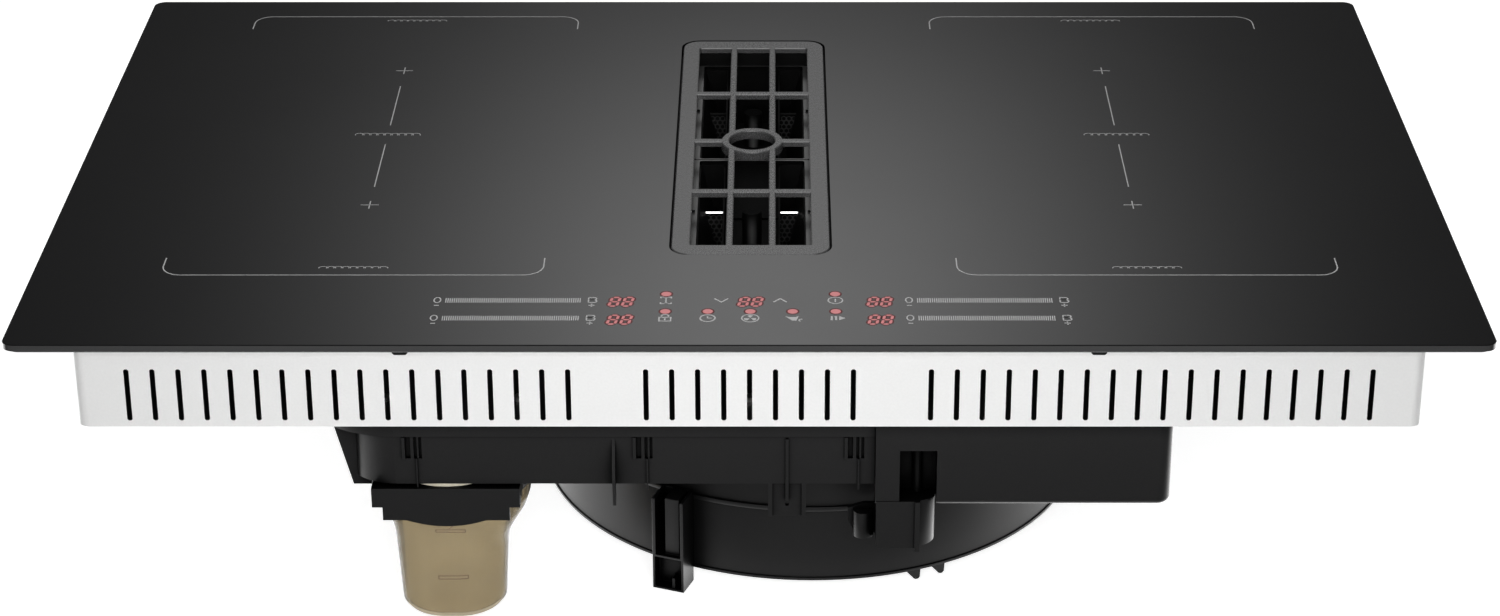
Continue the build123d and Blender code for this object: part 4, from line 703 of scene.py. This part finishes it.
def lockSign(x, y):
    body = [(x - 3.3, y - 3.6), (x + 3.3, y - 3.6), (x + 3.3, y + 1), (x - 3.3, y + 1)]
    shackle = [(x - 2, y + 1), (x - 2, y + 2.6)]
    shackle += arcPoints(x, y + 2.6, 2, 180, 0, 10) + [(x + 2, y + 1)]
    faces = strokeFaces(body, 0.9, closed=True) + strokeFaces(shackle, 0.9)
    return faces + barFace(x, y - 1.3, 0.9, 2.2)


def clockSign(x, y):
    return ringFaces(x, y, 4.2, 0.9) + strokeFaces([(x, y + 2.6), (x, y), (x + 2.4, y)], 0.8)


def lessSign(x, y):
    return strokeFaces([(x - 3.8, y + 2.2), (x, y - 2.2), (x + 3.8, y + 2.2)], 1)


def moreSign(x, y):
    return strokeFaces([(x - 3.8, y - 2.2), (x, y + 2.2), (x + 3.8, y - 2.2)], 1)


def fanSign(x, y):
    faces = ringFaces(x, y, 4.8, 0.8)
    for turn in (90, 210, 330):
        blade = []
        for reach, swing in ((0.6, -20), (3.6, -26), (3.9, 4), (3.2, 30), (0.6, 20)):
            a = math.radians(turn + swing)
            blade.append((x + reach * math.cos(a), y + reach * math.sin(a)))
        faces.append(blade)
    return faces


def wipeSign(x, y):
    cloth = ((-4.6, 2.6), (-0.4, -3), (2, -3), (3.4, 2.6), (1.6, 1.4), (-2.4, 1.4))
    drop = arcPoints(x + 4.8, y - 2.6, 1.3, 60, 250, 8)
    return [[(x + u, y + v) for u, v in cloth]] + strokeFaces(drop, 0.8)


def powerSign(x, y):
    return ringFaces(x, y, 4.1, 0.8) + barFace(x, y, 0.8, 4.4)


def pauseSign(x, y):
    arrow = [(x + 1.8, y - 2.5), (x + 5.4, y), (x + 1.8, y + 2.5)]
    return barFace(x - 2.4, y, 1.2, 5) + barFace(x, y, 1.2, 5) + [arrow]


controlSigns = (
    # drawing, middle, row, and whether a lamp stands over it
    (bridgeSign, -47.6, "upper", True), (powerSign, 48.6, "upper", True),
    (lockSign, -47.6, "lower", True), (clockSign, -23.6, "lower", True),
    (fanSign, 0.4, "lower", True), (wipeSign, 24.3, "lower", True),
    (pauseSign, 48.6, "lower", True),
    (lessSign, -16.2, "upper", False), (moreSign, 17.2, "upper", False),
)


def sliderFaces(start, end, row):
    p = controlPrint
    count = int((end - start) / p["tickPitch"])
    return [face for n in range(count + 1)
            for face in barFace(start + n * p["tickPitch"], row, *p["tick"])]


def zeroFaces(x, row):
    rise, radius, squeeze, line = controlPrint["zero"]
    low, wide, high = controlPrint["zeroFoot"]
    return ringFaces(x, row + rise, radius, line, 24, squeeze) + barFace(x, row + low, wide, high)


def boostFaces(x, row):
    p = controlPrint
    stem, waist = x + p["boostStem"], x + p["boostWaist"]
    foot, top = p["boostBows"][0][0], p["boostBows"][-1][1]
    faces = strokeFaces([(stem, row + foot), (stem, row + top)], p["line"])
    for low, high in p["boostBows"]:
        bow = [(stem, row + low), (waist, row + low)]
        bow += arcPoints(waist, row + (low + high) / 2, (high - low) / 2, -80, 80, 8)
        bow += [(waist, row + high), (stem, row + high)]
        faces += strokeFaces(bow, p["line"])
    for rise, wide, high in p["boostFoot"]:
        faces += barFace(x, row + rise, wide, high)
    return faces


def drawControls():
    p = controlPrint
    faces = []
    for row in controlRows.values():
        for start, end in p["slider"]:
            faces += sliderFaces(start, end, row)
        for x in p["zeroAt"]:
            faces += zeroFaces(x, row)
        for x in p["boostAt"]:
            faces += boostFaces(x, row)
    for sign, x, row, _ in controlSigns:
        faces += sign(x, controlRows[row])
    drawnPiece("control_print", faces, onGlass(printLift), "printInk")


displayFacts = {
    "digit": (6.2, 12.6),     # width and height
    "pitch": 7.5,
    "lean": 0.17,
    "bar": 1.7,
    "gap": 0.35,
    "halo": 0.9,
    "rows": {"upper": -206.2, "lower": -228.7},
    "places": (
        (-73.0, "upper"), (-73.0, "lower"), (0.45, "upper"), (73.7, "upper"), (73.7, "lower")),
    "dotRadius": 2.9,
    "dotRows": {"upper": -196.3, "lower": -218.4},
}


def digitBars(x, y, grow):
    # the seven bars of one digit, each a six-cornered strip
    p = displayFacts
    wide, high = p["digit"]
    half, bar = (wide - p["bar"]) / 2, p["bar"] / 2 + grow
    tall = (high - p["bar"]) / 2
    trim = p["gap"] - grow
    faces = []
    for level in (-tall, 0, tall):
        a, b = -half + trim, half - trim
        faces.append([
            (a, level), (a + bar, level - bar), (b - bar, level - bar),
            (b, level), (b - bar, level + bar), (a + bar, level + bar)])
    for side in (-half, half):
        for low, top in ((-tall, 0), (0, tall)):
            a, b = low + trim, top - trim
            faces.append([
                (side, a), (side + bar, a + bar), (side + bar, b - bar),
                (side, b), (side - bar, b - bar), (side - bar, a + bar)])
    return [[(x + u + v * p["lean"], y + v) for u, v in face] for face in faces]


def drawDisplays():
    # painted light: the lit digits and key lamps are bright red bars and dots, with a dark red
    # painted glow round each
    p = displayFacts
    bright, dark = [], []
    for x, row in p["places"]:
        for side in (-1, 1):
            at = (x + side * p["pitch"] / 2, p["rows"][row])
            bright += digitBars(*at, 0)
            dark += digitBars(*at, p["halo"])
    for _, x, row, lit in controlSigns:
        if lit:
            bright += discFace(x, p["dotRows"][row], p["dotRadius"])
            dark += discFace(x, p["dotRows"][row], p["dotRadius"] + p["halo"])
    drawnPiece("display_halo", dark, onGlass(haloLift), "haloRed", slot="display")
    drawnPiece("display_light", bright, onGlass(lightLift), "lampRed", slot="display")


drawZones()
drawControls()
drawDisplays()
print("marks drawn on the glass")


filterFacts = {
    "middles": {"front": -55.9, "rear": 99.3},
    "baffle": 33.05,          # the face of the upright mesh, behind the filter's middle
    "top": -26,
    "foot": -51.6,
    "inner": 16.9,            # the mesh lies between this and its slanting outer edge
    "outerTop": 29.2,
    "outerFoot": 22.8,
    "cell": 3.4,              # across the flats of one mesh cell
    "web": 0.62,
    "overhang": 0.6,          # a row's last cell may pass the outer edge by this much
    "proud": 0.12,
}
meshRim = {
    "across": (17.8, 30.8),
    "depth": 0.95,
    "rise": 0.74,             # of its slope
    "foot": 0.4,
    "proud": 0.3,
    # the rear rim takes the near-black mesh finish as painted shade; the front one is polished
    # metal
    "finish": {"front": "polishedRim", "rear": "filterMesh"},
}
postSkin = {"behind": 41, "radius": 6.08, "top": -28.1, "foot": -51.6, "steps": 32}


def meshCells():
    # the six-sided cells of the upright mesh, right half and left half
    p = filterFacts
    reach = p["cell"] / math.sqrt(3)
    turns = [math.radians(30 + 60 * n) for n in range(6)]
    rows = int((p["top"] - p["foot"]) / (1.5 * reach))
    faces = []
    for row in range(rows):
        z = p["foot"] + reach + row * 1.5 * reach
        share = (z - p["foot"]) / (p["top"] - p["foot"])
        edge = p["outerFoot"] + (p["outerTop"] - p["outerFoot"]) * share
        x = p["inner"] + p["cell"] / 2 * (1 + row % 2)
        while x + p["cell"] / 2 <= edge + p["overhang"]:
            outer, inner = (
                [(x + size * math.cos(a), z + size * math.sin(a)) for a in turns]
                for size in (reach, reach - p["web"]))
            for n in range(6):
                after = (n + 1) % 6
                quad = [outer[n], outer[after], inner[after], inner[n]]
                faces += [quad, [(-u, v) for u, v in quad]]
            x += p["cell"]
    return faces


def rimSolid(face):
    # two bars with a slope on top, one on each side
    p = meshRim
    near, base = face - p["proud"], filterFacts["top"]
    section = [(near, base - p["foot"]), (near + p["depth"], base - p["foot"]),
               (near + p["depth"], base + p["rise"]), (near, base)]
    verts, sides = [], []
    for side in (-1, 1):
        first = len(verts)
        verts += [(side * x, *at) for x in p["across"] for at in section]
        sides += [tuple(first + n for n in one) for one in ((0, 1, 2, 3), (7, 6, 5, 4))]
        for n in range(4):
            after = (n + 1) % 4
            sides.append((first + n, first + 4 + n, first + 4 + after, first + after))
    return [tuple(v * mm for v in at) for at in verts], sides


def postWall(y):
    # an open tube round the filter's post, which carries its painted highlight
    p = postSkin
    steps = p["steps"]
    ring = arcPoints(0, y + p["behind"], p["radius"], 0, 360, steps)[:-1]
    verts = [(u * mm, v * mm, z * mm) for z in (p["foot"], p["top"]) for u, v in ring]
    sides = [(n, (n + 1) % steps, steps + (n + 1) % steps, steps + n) for n in range(steps)]
    return verts, sides


def dressFilters():
    for place, y in filterFacts["middles"].items():
        body = f"filter_{place}"
        face = y + filterFacts["baffle"]
        front = face - filterFacts["proud"]
        drawnPiece(
            f"mesh_{place}", meshCells(), lambda x, z: (x * mm, front * mm, z * mm),
            "meshWeb", body, "filter_steel")
        addPiece(
            f"mesh_rim_{place}", *rimSolid(face), meshRim["finish"][place], body, "filter_steel")
        post = addPiece(f"post_skin_{place}", *postWall(y), "postSteel", body, "filter_steel")
        for polygon in post.data.polygons:
            polygon.use_smooth = True


cupFacts = {
    "top": -125.2,
    "levels": (   # below the rim, half width, half depth, middle x, middle y, corner
        (6, 43, 46, -173, -166.5, 34),
        (38, 33.5, 35.5, -177.3, -174, 30),
        (80, 31, 27.5, -177.3, -179, 27),
    ),
    "bars": (     # left, right, foot, top
        (-183.7, -166.6, -143.6, -141.9),
        (-183.6, -166.4, -177.2, -175),
    ),
    "tick": (-175.9, -173.9, -141.2, -137.6),
    "line": 0.5,
    "proud": 0.14,
}


def cupFront(x, z):
    # the front of the cup's wall at this place
    drop = cupFacts["top"] - z
    rim, waist, foot = cupFacts["levels"]
    if drop <= waist[0]:
        above, below = rim, waist
        share = max(0, (drop - rim[0]) / (waist[0] - rim[0]))
        share = share * share * (3 - 2 * share)
    else:
        above, below = waist, foot
        share = (drop - waist[0]) / (foot[0] - waist[0])
    wide, deep, midX, midY, corner = (a + (b - a) * share for a, b in zip(above[1:], below[1:]))
    off = max(0, abs(x - midX) - (wide - corner))
    return midY - deep + corner - math.sqrt(corner ** 2 - off ** 2)


def onCup(x, z):
    return x * mm, (cupFront(x, z) - cupFacts["proud"]) * mm, z * mm


def markCup():
    p = cupFacts
    faces = []
    for left, right, low, high in p["bars"]:
        steps = [left + (right - left) * n / 8 for n in range(9)]
        path = [(x, low) for x in steps] + [(x, high) for x in steps[::-1]]
        faces += strokeFaces(path, p["line"], closed=True)
    left, right, low, high = p["tick"]
    faces += strokeFaces([(left, high), (right, (low + high) / 2), (left, low)], p["line"])
    drawnPiece("cup_marks", faces, onCup, "markBrown", "cup", "smoky_plastic")


dressFilters()
markCup()
print("filters and cup dressed")
